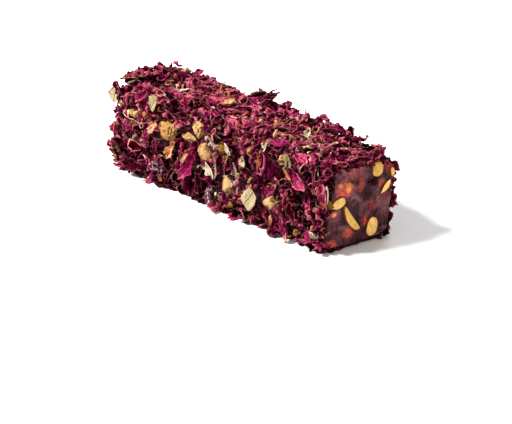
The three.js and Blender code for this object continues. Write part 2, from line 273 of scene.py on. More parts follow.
# the pistachios that the knife went through, which the jelly stands back from a little
# node: length, width, depth (mm), turned from upright towards +Y (degrees), how blunt its tips are, how far
# its long axis bends, how flat one cheek is, how much fuller its far end is, how golden, how much skin shows,
# and a seed
SLICED = {
    "kernel_front_round_top": (6.2, 6.0, 7.6, 8, 2.7, 0.0, 0.08, 0.02, 0.80, 0.35, 1),
    "kernel_front_wedge_right": (7.4, 3.5, 6.0, 46, 1.5, 0.05, 0.40, 0.30, -0.50, 0.45, 2),
    "kernel_front_rim_right": (4.8, 2.6, 5.0, -6, 2.0, 0.0, 0.30, 0.0, 0.60, 0.45, 3),
    "kernel_front_left": (7.2, 4.6, 6.4, 78, 2.2, 0.0, 0.10, 0.12, 0.40, 0.30, 4),
    "kernel_front_crescent": (14.0, 5.4, 6.6, 145, 2.1, 0.16, 0.80, 0.22, 0.55, 0.30, 5),
    "kernel_front_oval_foot": (7.9, 6.1, 8.2, 12, 2.2, 0.0, 0.05, -0.06, 0.10, 0.20, 6),
    "kernel_back_upper": (8.0, 6.2, 7.8, 35, 2.3, 0.1, 0.10, 0.08, 0.85, 0.45, 7),
    "kernel_back_slice": (13.0, 4.8, 6.2, -62, 1.9, 0.15, 0.55, 0.1, 0.00, 0.35, 8),
    "kernel_back_middle": (6.8, 6.0, 7.4, 10, 2.6, 0.0, 0.05, 0.05, 0.25, 0.20, 9),
    "kernel_back_low_rear": (7.6, 5.0, 6.8, 70, 2.0, 0.1, 0.20, 0.1, 0.90, 0.50, 10),
    "kernel_back_low_front": (6.4, 5.4, 6.0, -25, 2.2, 0.0, 0.10, 0.06, 0.55, 0.25, 11),
}
SLICE_MIDDLES = {node: (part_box(node)[0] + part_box(node)[1]) / 2 for node in SLICED}
# how far the rim flares at each cut: the coat is thin there, so the jelly comes nearly to the coat's edge
FLARE = {-1: 0.7 * MM, 1: 1.3 * MM}
CAP_RINGS = 60
ROWS_ALONG = 96
PAINTED_SHADE_RED = 0.06  # a lump whose red is less than this is painted shade in a hollow, dull as well as dark


def kernel_gap(end, y, z):
    """How far (y, z) on a cut is from the rim of the nearest kernel sliced there: less than 0 inside it."""
    gaps = []
    for node, (long, wide, _, turn, *_) in SLICED.items():
        if (end > 0) == node.startswith("kernel_front"):
            across, up = y - SLICE_MIDDLES[node].y, z - SLICE_MIDDLES[node].z
            cos, sin = math.cos(math.radians(turn)), math.sin(math.radians(turn))
            along, aside = across * sin + up * cos, across * cos - up * sin
            reach = math.hypot(along / (long / 2), aside / (wide / 2)) / MM
            gaps.append((reach - 1) * wide / 2 * MM)
    return min(gaps)


def cut_relief(end, y, z, lumps):
    """How far a cut stands out at (y, z): fruit under it, slow swells, fine pores and the knife's drag lines.
    It dips round the sliced kernels, which are harder than the jelly."""
    swell = 0.0
    for at_y, at_z, wide, tall, proud, _, _ in lumps:
        near = ((y / MM - at_y) / wide) ** 2 + ((z / MM - at_z) / tall) ** 2
        swell += proud * MM * math.exp(-near * 5)
    place = Vector((y / MM, z / MM, end))
    slow = noise.noise(place * 0.15) * 0.5 * MM
    lump = noise.noise(place * 0.42) * 0.42 * MM
    pore = noise.noise(place * 1.1) * 0.16 * MM
    drag = noise.noise(Vector((y / MM * 1.3 + z / MM * 0.3, z / MM * 0.22, end))) * 0.14 * MM
    raised = swell + slow + lump + pore + drag
    dip = min(1.0, max(0.0, 1 - kernel_gap(end, y, z) / (0.8 * MM)))
    return raised * (1 - dip) + min(raised, 0.0) * dip


def jelly_mesh():
    vertices, faces = [], []
    count = len(outline(0, 0)[0])
    for x in np.linspace(-LENGTH / 2, LENGTH / 2, ROWS_ALONG):
        ring, outward = outline(x, 0)
        near_cut = math.exp(-((LENGTH / 2 - abs(x)) / (3.5 * MM)) ** 2)
        for point, normal in zip(ring, outward):
            ragged = noise.noise(Vector((x, *point)) / MM * 0.45) * 0.9 * MM
            reach = near_cut * (FLARE[1 if x > 0 else -1] + ragged) * max(0.0, 1 + min(0.0, normal[1]) * 0.9)
            vertices.append((x, *(point + normal * reach)))
    for row in range(ROWS_ALONG - 1):
        for k in range(count):
            a, b = row * count + k, row * count + (k + 1) % count
            faces.append((a, b, b + count, a + count))
    for end, lumps in ((-1, BACK_LUMPS), (1, FRONT_LUMPS)):
        rim = 0 if end < 0 else (ROWS_ALONG - 1) * count
        edge = np.array(vertices[rim:rim + count])
        middle = edge.mean(0)
        last = rim
        for step in range(1, CAP_RINGS):
            inward = step / CAP_RINGS
            first = len(vertices)
            settle = min(1.0, inward * 9)
            for x, y, z in middle + (edge - middle) * (1 - inward):
                vertices.append((x + end * cut_relief(end, y, z, lumps) * settle, y, z))
            for k in range(count):
                a, b = last + k, last + (k + 1) % count
                c, d = first + (k + 1) % count, first + k
                faces.append((a, b, c, d) if end > 0 else (d, c, b, a))
            last = first
        vertices.append((middle[0] + end * cut_relief(end, middle[1], middle[2], lumps), *middle[1:]))
        tip = len(vertices) - 1
        for k in range(count):
            a, b = last + k, last + (k + 1) % count
            faces.append((a, b, tip) if end > 0 else (b, a, tip))
    return vertices, faces


def jelly_finish():
    """Dark red jelly with a dull bloom: cloudy, dragged a little by the knife, with stains and fruit at the
    cuts, pale specks of sugar frost and painted glints, painted highlights on the largest lump, and painted
    shade in hollows and at the foot of each sliced kernel."""
    finish, tree, shader, place = new_finish(
        "dark red jelly", Subsurface_Weight=0.16, Subsurface_Scale=0.0018,
        Subsurface_Radius=(1.0, 0.28, 0.22),
    )
    broad = cloudy(tree, place, 170, 3, distortion=0.8)
    cloud = cloudy(tree, place, 430, 7, 0.66)
    fine = cloudy(tree, place, 1300, 4, 0.65)
    dragged = add(
        tree, "ShaderNodeMapping", {"Vector": place, "Rotation": (-0.25, 0, 0), "Scale": (1, 1, 0.16)}
    )
    smear = cloudy(tree, dragged.outputs[0], 520, 5)
    body = ramp(
        tree, broad * 0.75 + cloud * 0.42 + smear * 0.16 + fine * 0.26 - 0.265,
        (0.38, (0.022, 0.001, 0.003)), (0.45, (0.050, 0.009, 0.013)), (0.51, (0.083, 0.023, 0.030)),
        (0.58, (0.128, 0.047, 0.053)), (0.68, (0.210, 0.100, 0.106)),
    )
    # pale specks: sugar frost, and painted glints of light
    frost_and_glints = ((fine - 0.66).clip() * 8).clip()
    body = blended(tree, frost_and_glints, body, (0.42, 0.27, 0.25, 1))
    x, y, z = parts(tree, place)
    ragged = cloud * 1.8 - 0.9
    grained = fine * 0.5 + cloud * 0.5
    shade_share = 0.0
    for end, lumps in ((1, FRONT_LUMPS), (-1, BACK_LUMPS)):
        at_end = x * end > 0.4 * LENGTH
        for at_y, at_z, wide, tall, _, colour, strength in lumps:
            across, up = (y - at_y * MM) / (wide / 2 * MM), (z - at_z * MM) / (tall / 2 * MM)
            away = (across * across + up * up).maths("SQRT")
            share = ((1.15 - (away + ragged)) * 1.5).clip() * strength * at_end
            dark, bright = tuple(c * 0.45 for c in colour), tuple(min(1.0, c * 2.0) for c in colour)
            mottled = ramp(tree, grained, (0.38, dark), (0.50, colour), (0.62, bright))
            body = blended(tree, share, body, mottled)
            # the darkest lumps are painted shade, and the shader is duller there as well
            if colour[0] < PAINTED_SHADE_RED:
                shade_share = share.maths("MAXIMUM", shade_share)
    # painted shade at the foot of each sliced kernel
    body = blended(tree, painted(tree, "shade_at_kernel_foot") * 0.45, body, (0.016, 0.003, 0.003, 1))
    tree.links.new((shade_share * -0.24 + 0.30).socket, shader.inputs["Specular IOR Level"])
    coat_shader(tree, shader, body, cloud * 0.9 - 0.08, fine * 0.3 + cloud * 0.9, 1.0)
    return finish


def paint(piece, name, values):
    """Writes a number on each vertex, or the same one on all, for the piece's material to read."""
    layer = piece.data.attributes.new(name, "FLOAT", "POINT")
    layer.data.foreach_set("value", np.asarray(values + np.zeros(len(layer.data)), np.float32))


def shade_at_kernel_foot(x, y, z):
    """How much painted shade the jelly gets at the foot of a sliced kernel, from 1 at its rim to 0 beyond it.
    """
    if abs(x) < 0.48 * LENGTH:
        return 0.0
    return min(1.0, max(0.0, 1 - kernel_gap(x, y, z) / (0.45 * MM)))


jelly = mesh_piece("jelly_bar", *jelly_mesh(), jelly_finish())
paint(jelly, "shade_at_kernel_foot", [shade_at_kernel_foot(*vertex.co) for vertex in jelly.data.vertices])
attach(jelly, "root")
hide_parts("jelly")


# ---- The sliced kernels ----
# Whole shelled pistachios that were stirred into the jelly. The knife went through those at the cuts, so each
# shows a flat pale yellow slice with a thin darker skin round it, set in the jelly and a hair proud of it.
KERNEL_PROUD = 0.25 * MM
KERNEL_ROUNDS = 52
KERNEL_LEVELS = 35


def ball_faces(rounds, levels):
    """Faces of a ball whose vertices are levels rings of rounds points, then its two poles."""
    faces = []
    for level in range(levels - 1):
        for k in range(rounds):
            a, b = level * rounds + k, level * rounds + (k + 1) % rounds
            faces.append((a, b, b + rounds, a + rounds))
    top, foot = rounds * levels, rounds * levels + 1
    for k in range(rounds):
        faces.append((top, (k + 1) % rounds, k))
        last = (levels - 1) * rounds
        faces.append((foot, last + k, last + (k + 1) % rounds))
    return faces


def ball_points(rounds, levels):
    """The vertices that ball_faces joins, one away from the ball's centre."""
    points = []
    for level in range(levels):
        polar = math.pi * (level + 1) / (levels + 1)
        wide, high = math.sin(polar), math.cos(polar)
        for k in range(rounds):
            turn = -2 * math.pi * k / rounds
            points.append((wide * math.cos(turn), wide * math.sin(turn), high))
    return np.array(points + [(0, 0, 1), (0, 0, -1)])


def kernel_body(long, wide, deep, seed, rough, blunt=2.0, bend=0.0, flat=0.0, fuller=0.08, breaks=0):
    """A shelled pistachio, as points and how deep in a crack each lies. Its long axis is Y, Z points out of
    the surface, one end is fuller, the cheek at -X may be flat, and it may have broken along flat faces."""
    points, cracks = [], []
    draw = random.Random(seed)
    broken = []
    for k in range(breaks):
        turn, rise = 2 * math.pi * (k + draw.uniform(0, 0.7)) / breaks, draw.uniform(0.0, 0.75)
        level = math.sqrt(1 - rise * rise)
        out = Vector((level * math.cos(turn), level * math.sin(turn), rise))
        broken.append((out, draw.uniform(0.66, 0.84)))
    for x, y, z in ball_points(KERNEL_ROUNDS, KERNEL_LEVELS):
        level = math.hypot(x, y)
        if level > 1e-6:
            square = level / (abs(x) ** blunt + abs(y) ** blunt) ** (1 / blunt)
            x, y = x * square, y * square
        x = (x * (1 - flat) if x < 0 else x) * (1 + fuller * y) + bend * (0.45 - y * y)
        for out, reach in broken:
            past = max(0.0, Vector((x, y, z)).dot(out) - reach)
            x, y, z = Vector((x, y, z)) - out * past * 0.88
        place = Vector((x * 1.7, y * 1.7 + seed * 3.1, z * 1.7))
        knobs = noise.noise(place) * 0.6 + abs(noise.noise(place * 2.3)) * 0.6
        knobs += abs(noise.noise(place * 5)) * 0.15
        crack = max(0.0, 1 - abs(noise.noise(place * 1.5 + Vector((7, 0, 0)))) / 0.13)
        crack = crack * min(1.0, max(0.0, noise.noise(place * 0.8) + 0.55))
        grown = 1 + rough * (knobs - 0.15) - 0.75 * rough * crack
        points.append(Vector((x * wide / 2, y * long / 2, z * deep / 2)) * grown * MM)
        cracks.append(crack ** 2)
    return points, cracks


def kernel_finish(name, pale, golden, skin, toast, fissured):
    """Nut flesh from pale to golden, toasted in patches, with brown skin at its edges, and painted shade in
    its cracks and in the finer fissures where it was broken rather than cut."""
    finish, tree, shader, place = new_finish(
        name, Specular_IOR_Level=0.30, Subsurface_Weight=0.06, Subsurface_Scale=0.001,
        Subsurface_Radius=(1.0, 0.75, 0.35),
    )
    cloud = cloudy(tree, place, 480, 5, 0.62)
    grain = cloudy(tree, place, 1700, 4, 0.65)
    patchy = cloud * 1.3 - 0.65
    flesh = blended(tree, (painted(tree, "golden") + patchy).clip(), (*pale, 1), (*golden, 1))
    toasted = ((cloud - 0.52).clip() * 5).clip()
    flesh = blended(tree, toasted * (0.35 + 0.35 * fissured), flesh, (*toast, 1))
    pitted = ((0.42 - grain).clip() * 6).clip()
    flesh = blended(tree, pitted * 0.5, flesh, (*toast, 1))
    edge = ((painted(tree, "skin") + patchy - 0.4) * 3).clip()
    flesh = blended(tree, edge, flesh, (*skin, 1))
    # painted shade in the cracks and the finer fissures, darker than the skin
    seam = abs(cloudy(tree, place, 420, 3, distortion=0.5) * 2 - 1)
    seam = (1 - seam * 14).clip() * (toasted * 0.4).clip() * (fissured * 2.4)
    split = (painted(tree, "crack") * (grain * 2 - 0.1)).clip()
    split = split.maths("MAXIMUM", seam).clip()
    flesh = blended(tree, split, flesh, tuple(c * 0.45 for c in skin) + (1,))
    height = grain * 0.5 + cloud - split * 0.5
    coat_shader(tree, shader, flesh, grain * 0.35 + 0.34, height, 0.7 + 0.3 * fissured)
    return finish


def paint_nut(piece, golden, skin, crack):
    """How golden a nut's flesh is, how much skin shows and how deep in a crack, on each vertex or on all."""
    paint(piece, "golden", golden)
    paint(piece, "skin", skin)
    paint(piece, "crack", crack)


sliced_finish = kernel_finish(
    "sliced pistachio", pale=(0.82, 0.53, 0.20), golden=(0.46, 0.27, 0.065), skin=(0.24, 0.10, 0.025),
    toast=(0.46, 0.25, 0.060), fissured=0.1,
)
kept_clear = []  # places that loose petals keep off, and how wide
for node, (long, wide, deep, turn, blunt, bend, flat, fuller, golden, skin, seed) in SLICED.items():
    middle = SLICE_MIDDLES[node]
    end = 1 if node.startswith("kernel_front") else -1
    out = Vector((end, 0, 0))
    up = Vector((0, math.sin(math.radians(turn)), math.cos(math.radians(turn))))
    turned = Matrix((up.cross(out), up, out)).transposed()
    face = end * (LENGTH / 2 + KERNEL_PROUD)
    points, skins = [], []
    body, _ = kernel_body(long, wide, deep, seed, 0.05, blunt, bend, flat, fuller)
    for point in body:
        place = turned @ point + Vector((end * (LENGTH / 2 - 0.16 * deep * MM), middle.y, middle.z))
        past = (place.x - face) * end
        spot = Vector((place.y, place.z, seed * 0.01)) / MM
        if past > 0:
            wave = noise.noise(spot * 0.55) * 0.24 * MM
            place.x = face + end * (0.40 * MM * (1 - math.exp(-past / (0.8 * MM))) + wave * min(1, past / MM))
        cheek = noise.noise(spot * 0.22) * 0.5
        at_rim = max(0.0, 1 - max(0.0, past) / (0.6 * MM))
        skins.append(skin + cheek + 0.7 * at_rim - 0.20 * min(1, past / MM))
        points.append(place)
    kernel = mesh_piece("sliced_" + node, points, ball_faces(KERNEL_ROUNDS, KERNEL_LEVELS), sliced_finish)
    paint_nut(kernel, golden, skins, 0.0)
    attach(kernel, "root")
    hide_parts(node)
    kept_clear.append((middle, (long + wide) / 4 * MM))


# ---- The chopped kernels in the coat ----
# Rough pieces of the same nuts that the petals hold against the jelly's sides. They are broken, not cut, so
# they are lumpy, tan and gold, with scraps of brown skin, and stand about a millimetre out of the coat.
CHOPPED_DEEP = 4.8
CHOPPED_MARGIN = 0.7  # how far past a chopped kernel the loose petals keep off (mm)
# node: length, width (mm), turn from upright (degrees), how rough, how golden, how many broken faces, a seed
CHOPPED = {
    "kernel_coat_front_chunk": (11.6, 9.2, -70, 0.44, 0.72, 3, 33),
    "kernel_coat_front_oval": (9.2, 7.2, -79, 0.16, 0.45, 2, 22),
    "kernel_coat_front_upper": (9.4, 7.0, 20, 0.30, 0.25, 4, 23),
    "kernel_coat_front_sliver": (10.2, 3.4, 80, 0.22, 0.25, 3, 24),
    "kernel_coat_front_low": (9.6, 6.6, 30, 0.20, -0.10, 5, 25),
    "kernel_coat_front_arch": (10.2, 5.2, -71, 0.26, -0.50, 4, 26),
    "kernel_coat_front_chip": (6.0, 4.6, -60, 0.34, 0.10, 5, 27),
    "kernel_coat_rear_chunk": (9.8, 8.0, 30, 0.28, 0.75, 6, 28),
    "kernel_coat_rear_oval": (8.2, 6.0, -40, 0.16, 0.50, 2, 29),
    "kernel_coat_rear_high": (8.0, 6.6, 75, 0.26, 0.40, 5, 30),
}


def on_coat(side, x, height):
    """The point and outward direction on a side of the coat, that far up it, or across it if it is level."""
    ring, outward = outline(x, COAT_DEPTH)
    first = SIDE_OF[side] * (EDGE_STEPS + SIDE_STEPS) + EDGE_STEPS
    start, last = ring[first], ring[(first + SIDE_STEPS) % len(ring)]
    level = 0 if side in ("top", "underside") else 1
    share = (height - start[level]) / (last[level] - start[level])
    point, normal = start + (last - start) * share, outward[first]
    return Vector((x, *point)), Vector((0, *normal))


def laid(out, turn):
    """A turn whose Z faces out, with Y turned that many degrees from up the side (or from +X on the top)."""
    up = Vector((1, 0, 0)) if abs(out.z) > 0.7 else Vector((0, 0, 1))
    side = up.cross(out).normalized()
    return Matrix((side, out.cross(side), out)).transposed() @ Matrix.Rotation(math.radians(turn), 3, "Z")


chopped_finish = kernel_finish(
    "chopped pistachio", pale=(0.48, 0.31, 0.150), golden=(0.31, 0.165, 0.042), skin=(0.12, 0.047, 0.014),
    toast=(0.21, 0.10, 0.026), fissured=1.0,
)
for node, (long, wide, turn, rough, golden, breaks, seed) in CHOPPED.items():
    low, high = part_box(node)
    middle = (low + high) / 2
    _, out = on_coat(node.split("_")[2], middle.x, middle.z)
    turned = laid(out, turn)
    body, cracks = kernel_body(long, wide, CHOPPED_DEEP, seed, rough, blunt=2.4, breaks=breaks)
    points = [turned @ point + middle for point in body]
    kernel = mesh_piece("chopped_" + node, points, ball_faces(KERNEL_ROUNDS, KERNEL_LEVELS), chopped_finish)
    paint_nut(kernel, golden, [0.12 + noise.noise(point / MM * 0.45) * 0.8 for point in points], cracks)
    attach(kernel, "root")
    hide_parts(node)
    kept_clear.append((middle, ((long + wide) / 4 + CHOPPED_MARGIN) * MM))


# ---- The dark layer under the petals ----
# A layer on the jelly coloured as painted shade. It shows only as the deep gaps between the petals, and as
# the thin ragged rim round each cut.
MAT_DEPTH = 1.5 * MM
MAT_INSIDE = -0.5 * MM
MAT_REACH = LENGTH / 2 - 0.5 * MM
MAT_ROWS = 190
MAT_INNER_ROWS = 9


def mat_mesh():
    vertices, faces = [], []
    count = len(outline(0, 0)[0])
    outer = np.linspace(-MAT_REACH, MAT_REACH, MAT_ROWS)
    inner = outer[::-1][:: (MAT_ROWS - 1) // MAT_INNER_ROWS]
    for x in outer:
        ring, outward = outline(x, MAT_DEPTH)
        for point, normal in zip(ring, outward):
            place = Vector((x, *point)) / MM
            billow = abs(noise.noise(place * 0.42)) * 1.3 + abs(noise.noise(place * 1.1)) * 0.7 - 0.5
            flat = max(0.0, 1 + min(0.0, normal[1]) * 1.2)
            ragged = noise.noise(place * 0.7) * 0.7 * MM if abs(x) > LENGTH / 2 - MM else 0
            raised = point + normal * billow * flat * MM
            vertices.append((x + ragged, raised[0], max(raised[1], 0.05 * MM)))
    for x in inner:
        vertices += [(x * 0.995, *point) for point in outline(x, MAT_INSIDE)[0]]
    rows = len(vertices) // count
    for row in range(rows):
        for k in range(count):
            a, b = row * count + k, row * count + (k + 1) % count
            c, d = (row + 1) % rows * count + (k + 1) % count, (row + 1) % rows * count + k
            faces.append((a, b, c, d))
    return vertices, faces


def shade_layer_finish():
    finish, tree, shader, place = new_finish("painted shade under the petals", Specular_IOR_Level=0.35)
    cloud = cloudy(tree, place, 340, 6, 0.65)
    # nearly black over most of its noise: painted shade in the deep gaps between the petals
    colour = ramp(
        tree, cloud,
        (0.34, (0.008, 0.001, 0.003)), (0.48, (0.040, 0.002, 0.012)),
        (0.56, (0.100, 0.008, 0.034)), (0.66, (0.26, 0.10, 0.13)),
    )
    coat_shader(tree, shader, colour, cloud * 0.5 + 0.35, cloud, 0.8)
    return finish


mat = mesh_piece("matted_petals", *mat_mesh(), shade_layer_finish())
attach(mat, "root")
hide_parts("petal_coat")


# ---- The outermost petals ----
# The largest and best kept petals went on last, so they lie over the others with their colour and shape
# unspoilt: crimson and bright pink, folded like boats or opened like cups, some with a tan foot or a cream
# margin.
OUTERMOST_THICK = 0.20 * MM
OUTERMOST_OVERLAP = 2.2  # how far over an outermost petal's edge the loose ones may reach (mm)
OUTERMOST_SEED = 900


def petal_form(v):
    return 0.30 + 1.45 * v - 0.55 * v ** 2 - 0.52 * v ** 4


def drawn(draw, size):
    """A size as it is given, or drawn between its two bounds and then times one of the factors after them."""
    if not isinstance(size, tuple):
        return size
    low, high, *factors = size
    return draw.uniform(low, high) * (draw.choice(factors) if factors else 1)


def dried_sheet(
    seed, form, rows, columns, long, broad, cup, roll, curl, twist, frill, crease, fold=0.0, torn=0.25
):
    """A dried petal as rows and columns of points: its foot at -Y, its tip at +Y and its inner face up. It
    cups and rolls round its length, curls and twists along it, and frills, creases and folds, as the sizes
    say."""
    draw = random.Random(seed)
    sizes = (long, broad, cup, roll, curl, twist, frill, crease, fold)
    long, broad, cup, roll, curl, twist, frill, crease, fold = [drawn(draw, size) for size in sizes]
    u = np.linspace(-1, 1, columns + 1)[None, :] + np.zeros((rows + 1, 1))
    v = np.linspace(0, 1, rows + 1)[:, None] + np.zeros((1, columns + 1))
    start = [draw.uniform(0, 2 * math.pi) for _ in range(8)]
    half = broad / 2 * form(v)
    half = half * (1 + 0.10 * np.sin(7 * v + 2 * u + start[0]) + 0.07 * np.sin(15 * v + start[1]))
    for side in (-1, 1):
        notches = np.array([[draw.random() ** 2] for _ in range(rows + 1)])
        half = half * (1 - torn * notches * (u * side > 0))
    slope = cup * u + np.sign(u) * roll * np.clip((np.abs(u) - 0.35) / 0.65, 0, 1) ** 2
    across, height = np.cumsum(np.cos(slope), 1) * 2 / columns, np.cumsum(np.sin(slope), 1) * 2 / columns
    middle = columns // 2
    across, height = (across - across[:, [middle]]) * half, (height - height[:, [middle]]) * half
    waves = np.sin(draw.uniform(7, 14) * v + start[2] + np.sign(u) * start[3])
    waves = waves + 0.5 * np.sin(draw.uniform(16, 24) * v + start[3] - np.sign(u) * start[2])
    height = height + frill * broad * np.abs(u) ** 1.6 * (0.3 + 0.7 * v) * waves
    for k in range(3):
        turn, rate = draw.uniform(0, math.pi), draw.uniform(1.5, 4.5)
        fan = rate * (u * math.cos(turn) + 2 * v * math.sin(turn)) + start[4 + k]
        height = height + crease * broad * (np.abs(np.sin(fan)) - 0.6)
    turned = twist * (v - 0.5)
    across, height = (
        across * np.cos(turned) - height * np.sin(turned), across * np.sin(turned) + height * np.cos(turned)
    )
    phi = curl * (v - 0.2) + 0.8 * curl * np.clip((v - 0.6) / 0.4, 0, 1) ** 2
    uneven_tip = 1 - (0.13 * u ** 2 + 0.06 * np.sin(6 * u + start[7])) * v
    along = np.cumsum(np.cos(phi), 0) * long / rows * uneven_tip
    lift = np.cumsum(np.sin(phi), 0) * long / rows
    x, y, z = across, along - np.sin(phi) * height, lift + np.cos(phi) * height
    if fold:
        bearing = draw.uniform(0, 2 * math.pi)
        cos, sin = math.cos(bearing), math.sin(bearing)
        y = y - along.mean()
        away, beside = x * cos + y * sin, y * cos - x * sin
        crease_at, width = draw.uniform(-0.1, 0.2) * broad, 0.22 * broad
        share = np.clip((away - crease_at) / width, 0, 1)
        beyond = np.maximum(away - crease_at - width, 0)
        radius = width / fold
        over = crease_at + (radius - z) * np.sin(share * fold) + beyond * math.cos(fold)
        raised = radius - (radius - z) * np.cos(share * fold) + beyond * math.sin(fold)
        away, z = np.where(share > 0, over, away), np.where(share > 0, raised, z)
        x, y = away * cos - beside * sin, away * sin + beside * cos
    sheet = np.stack([x, y, z], -1)
    return (sheet - sheet.reshape(-1, 3).mean(0)) * MM


def shell_of(sheet, thick):
    """A thin closed shell round a sheet of points, with its UV: across, and from foot to tip."""
    rows, columns = sheet.shape[0] - 1, sheet.shape[1] - 1
    du, dv = np.gradient(sheet, axis=1), np.gradient(sheet, axis=0)
    normal = np.cross(du, dv)
    normal /= np.linalg.norm(normal, axis=-1, keepdims=True) + 1e-12
    points = np.stack([sheet + normal * thick / 2, sheet - normal * thick / 2]).reshape(-1, 3)
    wide, half = columns + 1, (rows + 1) * (columns + 1)
    faces = []
    for i in range(rows):
        for j in range(columns):
            a, b, c, d = i * wide + j, i * wide + j + 1, (i + 1) * wide + j + 1, (i + 1) * wide + j
            faces += [(a, b, c, d), (half + d, half + c, half + b, half + a)]
    loop = list(range(columns)) + [i * wide + columns for i in range(rows)]
    loop += [rows * wide + j for j in range(columns, 0, -1)] + [i * wide for i in range(rows, 0, -1)]
    for a, b in zip(loop, loop[1:] + loop[:1]):
        faces.append((half + a, half + b, b, a))
    places = [((k % half) % wide / columns, (k % half) // wide / rows) for k in range(2 * half)]
    return points, faces, places


def petal_piece(name, points, faces, places, material=None):
    piece = mesh_piece(name, points, faces, material)
    layer = piece.data.uv_layers.new(name="petal")
    corners = np.empty(len(piece.data.loops), np.int32)
    piece.data.loops.foreach_get("vertex_index", corners)
    layer.data.foreach_set("uv", np.asarray(places, np.float32)[corners].reshape(-1))
    return piece


def petal_finish(name, shades, warmer, foot_shades, rim, claws=0.5, rims=0.4):
    """Dried petal: shades from dark to light by each petal's own tint, warmer on some, lighter on its veins,
    with painted highlights on its wrinkles and towards its tip. By its kind a petal is all tan (below 0), has
    a tan foot (low), nothing more, or a pale margin with a painted highlight along its edge (high)."""
    finish, tree, shader, place = new_finish(name, Specular_IOR_Level=0.05)
    uv = add(tree, "ShaderNodeUVMap", uv_map="petal").outputs[0]
    tint, kind = painted(tree, "tint"), painted(tree, "kind")
    across, along, _ = parts(tree, uv)
    cloud = cloudy(tree, place, 380, 5, 0.6)
    grain = cloudy(tree, place, 1500, 3)
    ridge = (1 - abs(cloudy(tree, place, 640, 2, distortion=0.6) * 4 - 2)).clip()
    narrow = add(tree, "ShaderNodeMapping", {"Vector": uv, "Scale": (VEIN_COUNT, 1.5, 1)})
    veins = cloudy(tree, narrow.outputs[0], 1.6, 4, w=tint)
    # along paints each petal lighter towards its tip, and ridge lighter on its wrinkles' crests: painted
    # highlights
    shade = tint + (cloud * 0.8 - 0.40) + (veins * 1.3 - 0.65) + (grain * 0.36 - 0.18) + (along * 0.16 - 0.16)
    shade = (shade + ridge * 0.22).clip()
    colour = blended(tree, kind, ramp(tree, shade, *shades), ramp(tree, shade, *warmer))
    edge = across.maths("MINIMUM", 1 - across).maths("MINIMUM", 1 - along)
    worn = ((cloud * 0.5 - 0.12 - edge) * 9).clip() * (kind * rims)
    # a thin pale line along the edge of petals over 0.8: partly a pale margin, partly a painted highlight
    # where the thin edge catches the light
    thin = (1 - edge * 14).clip() * (((kind - 0.80) * 7).clip() * 0.6)
    colour = blended(tree, worn.maths("MAXIMUM", thin), colour, (*rim, 1))
    faded = kind.maths("MINIMUM", 0) * -1.6
    grown = cloud * 0.4 + veins * 0.35 + faded - 0.02 - along
    grown = (grown * 3.4).clip() * (kind < claws)
    colour = blended(tree, grown, colour, ramp(tree, shade, *foot_shades))
    for spot, reach in DUSTED:
        away = add(tree, "ShaderNodeVectorMath", {0: place, 1: spot}, operation="DISTANCE").outputs["Value"]
        near = (1 - Value(tree, away) / reach).clip() * 1.6
        dust = (((grain - 0.46).clip() * 9).clip() * near).clip()
        colour = blended(tree, dust * 0.8, colour, (0.66, 0.54, 0.60, 1))
    height = veins * 0.8 + ridge * 0.5 + cloud * 0.5 + grain * 0.3
    coat_shader(tree, shader, colour, cloud * 0.4 + 0.32, height, 1.0)
    return finish


VEIN_COUNT = 11
DRIED_SHADES = [
    (0.00, (0.016, 0.0004, 0.005)), (0.30, (0.062, 0.0010, 0.019)), (0.55, (0.143, 0.0045, 0.051)),
    (0.80, (0.265, 0.0185, 0.101)), (1.00, (0.460, 0.105, 0.214)),
]
WARM_SHADES = [
    (0.00, (0.020, 0.0003, 0.004)), (0.30, (0.072, 0.0008, 0.013)), (0.55, (0.158, 0.003, 0.036)),
    (0.80, (0.288, 0.017, 0.079)), (1.00, (0.522, 0.113, 0.184)),
]
FOOT_SHADES = [
    (0.00, (0.17, 0.055, 0.022)), (0.30, (0.38, 0.16, 0.065)), (0.55, (0.58, 0.29, 0.15)),
    (0.80, (0.74, 0.46, 0.29)), (1.00, (0.86, 0.70, 0.50)),
]
RIM_PINK = (0.82, 0.46, 0.38)
# where starch from the moulding tray still clings to the petals, and how far round
DUSTED = [
    (Vector((12.0, -18.5, 14.5)) * MM, 5.5 * MM), (Vector((0.7, -21.0, 6.2)) * MM, 5.0 * MM),
    (Vector((-34.0, -21.0, 7.0)) * MM, 4.5 * MM), (Vector((40.0, 20.0, 20.0)) * MM, 6.0 * MM),
]
petal_red = petal_finish("dried rose petal", DRIED_SHADES, WARM_SHADES, FOOT_SHADES, RIM_PINK, claws=0.2)
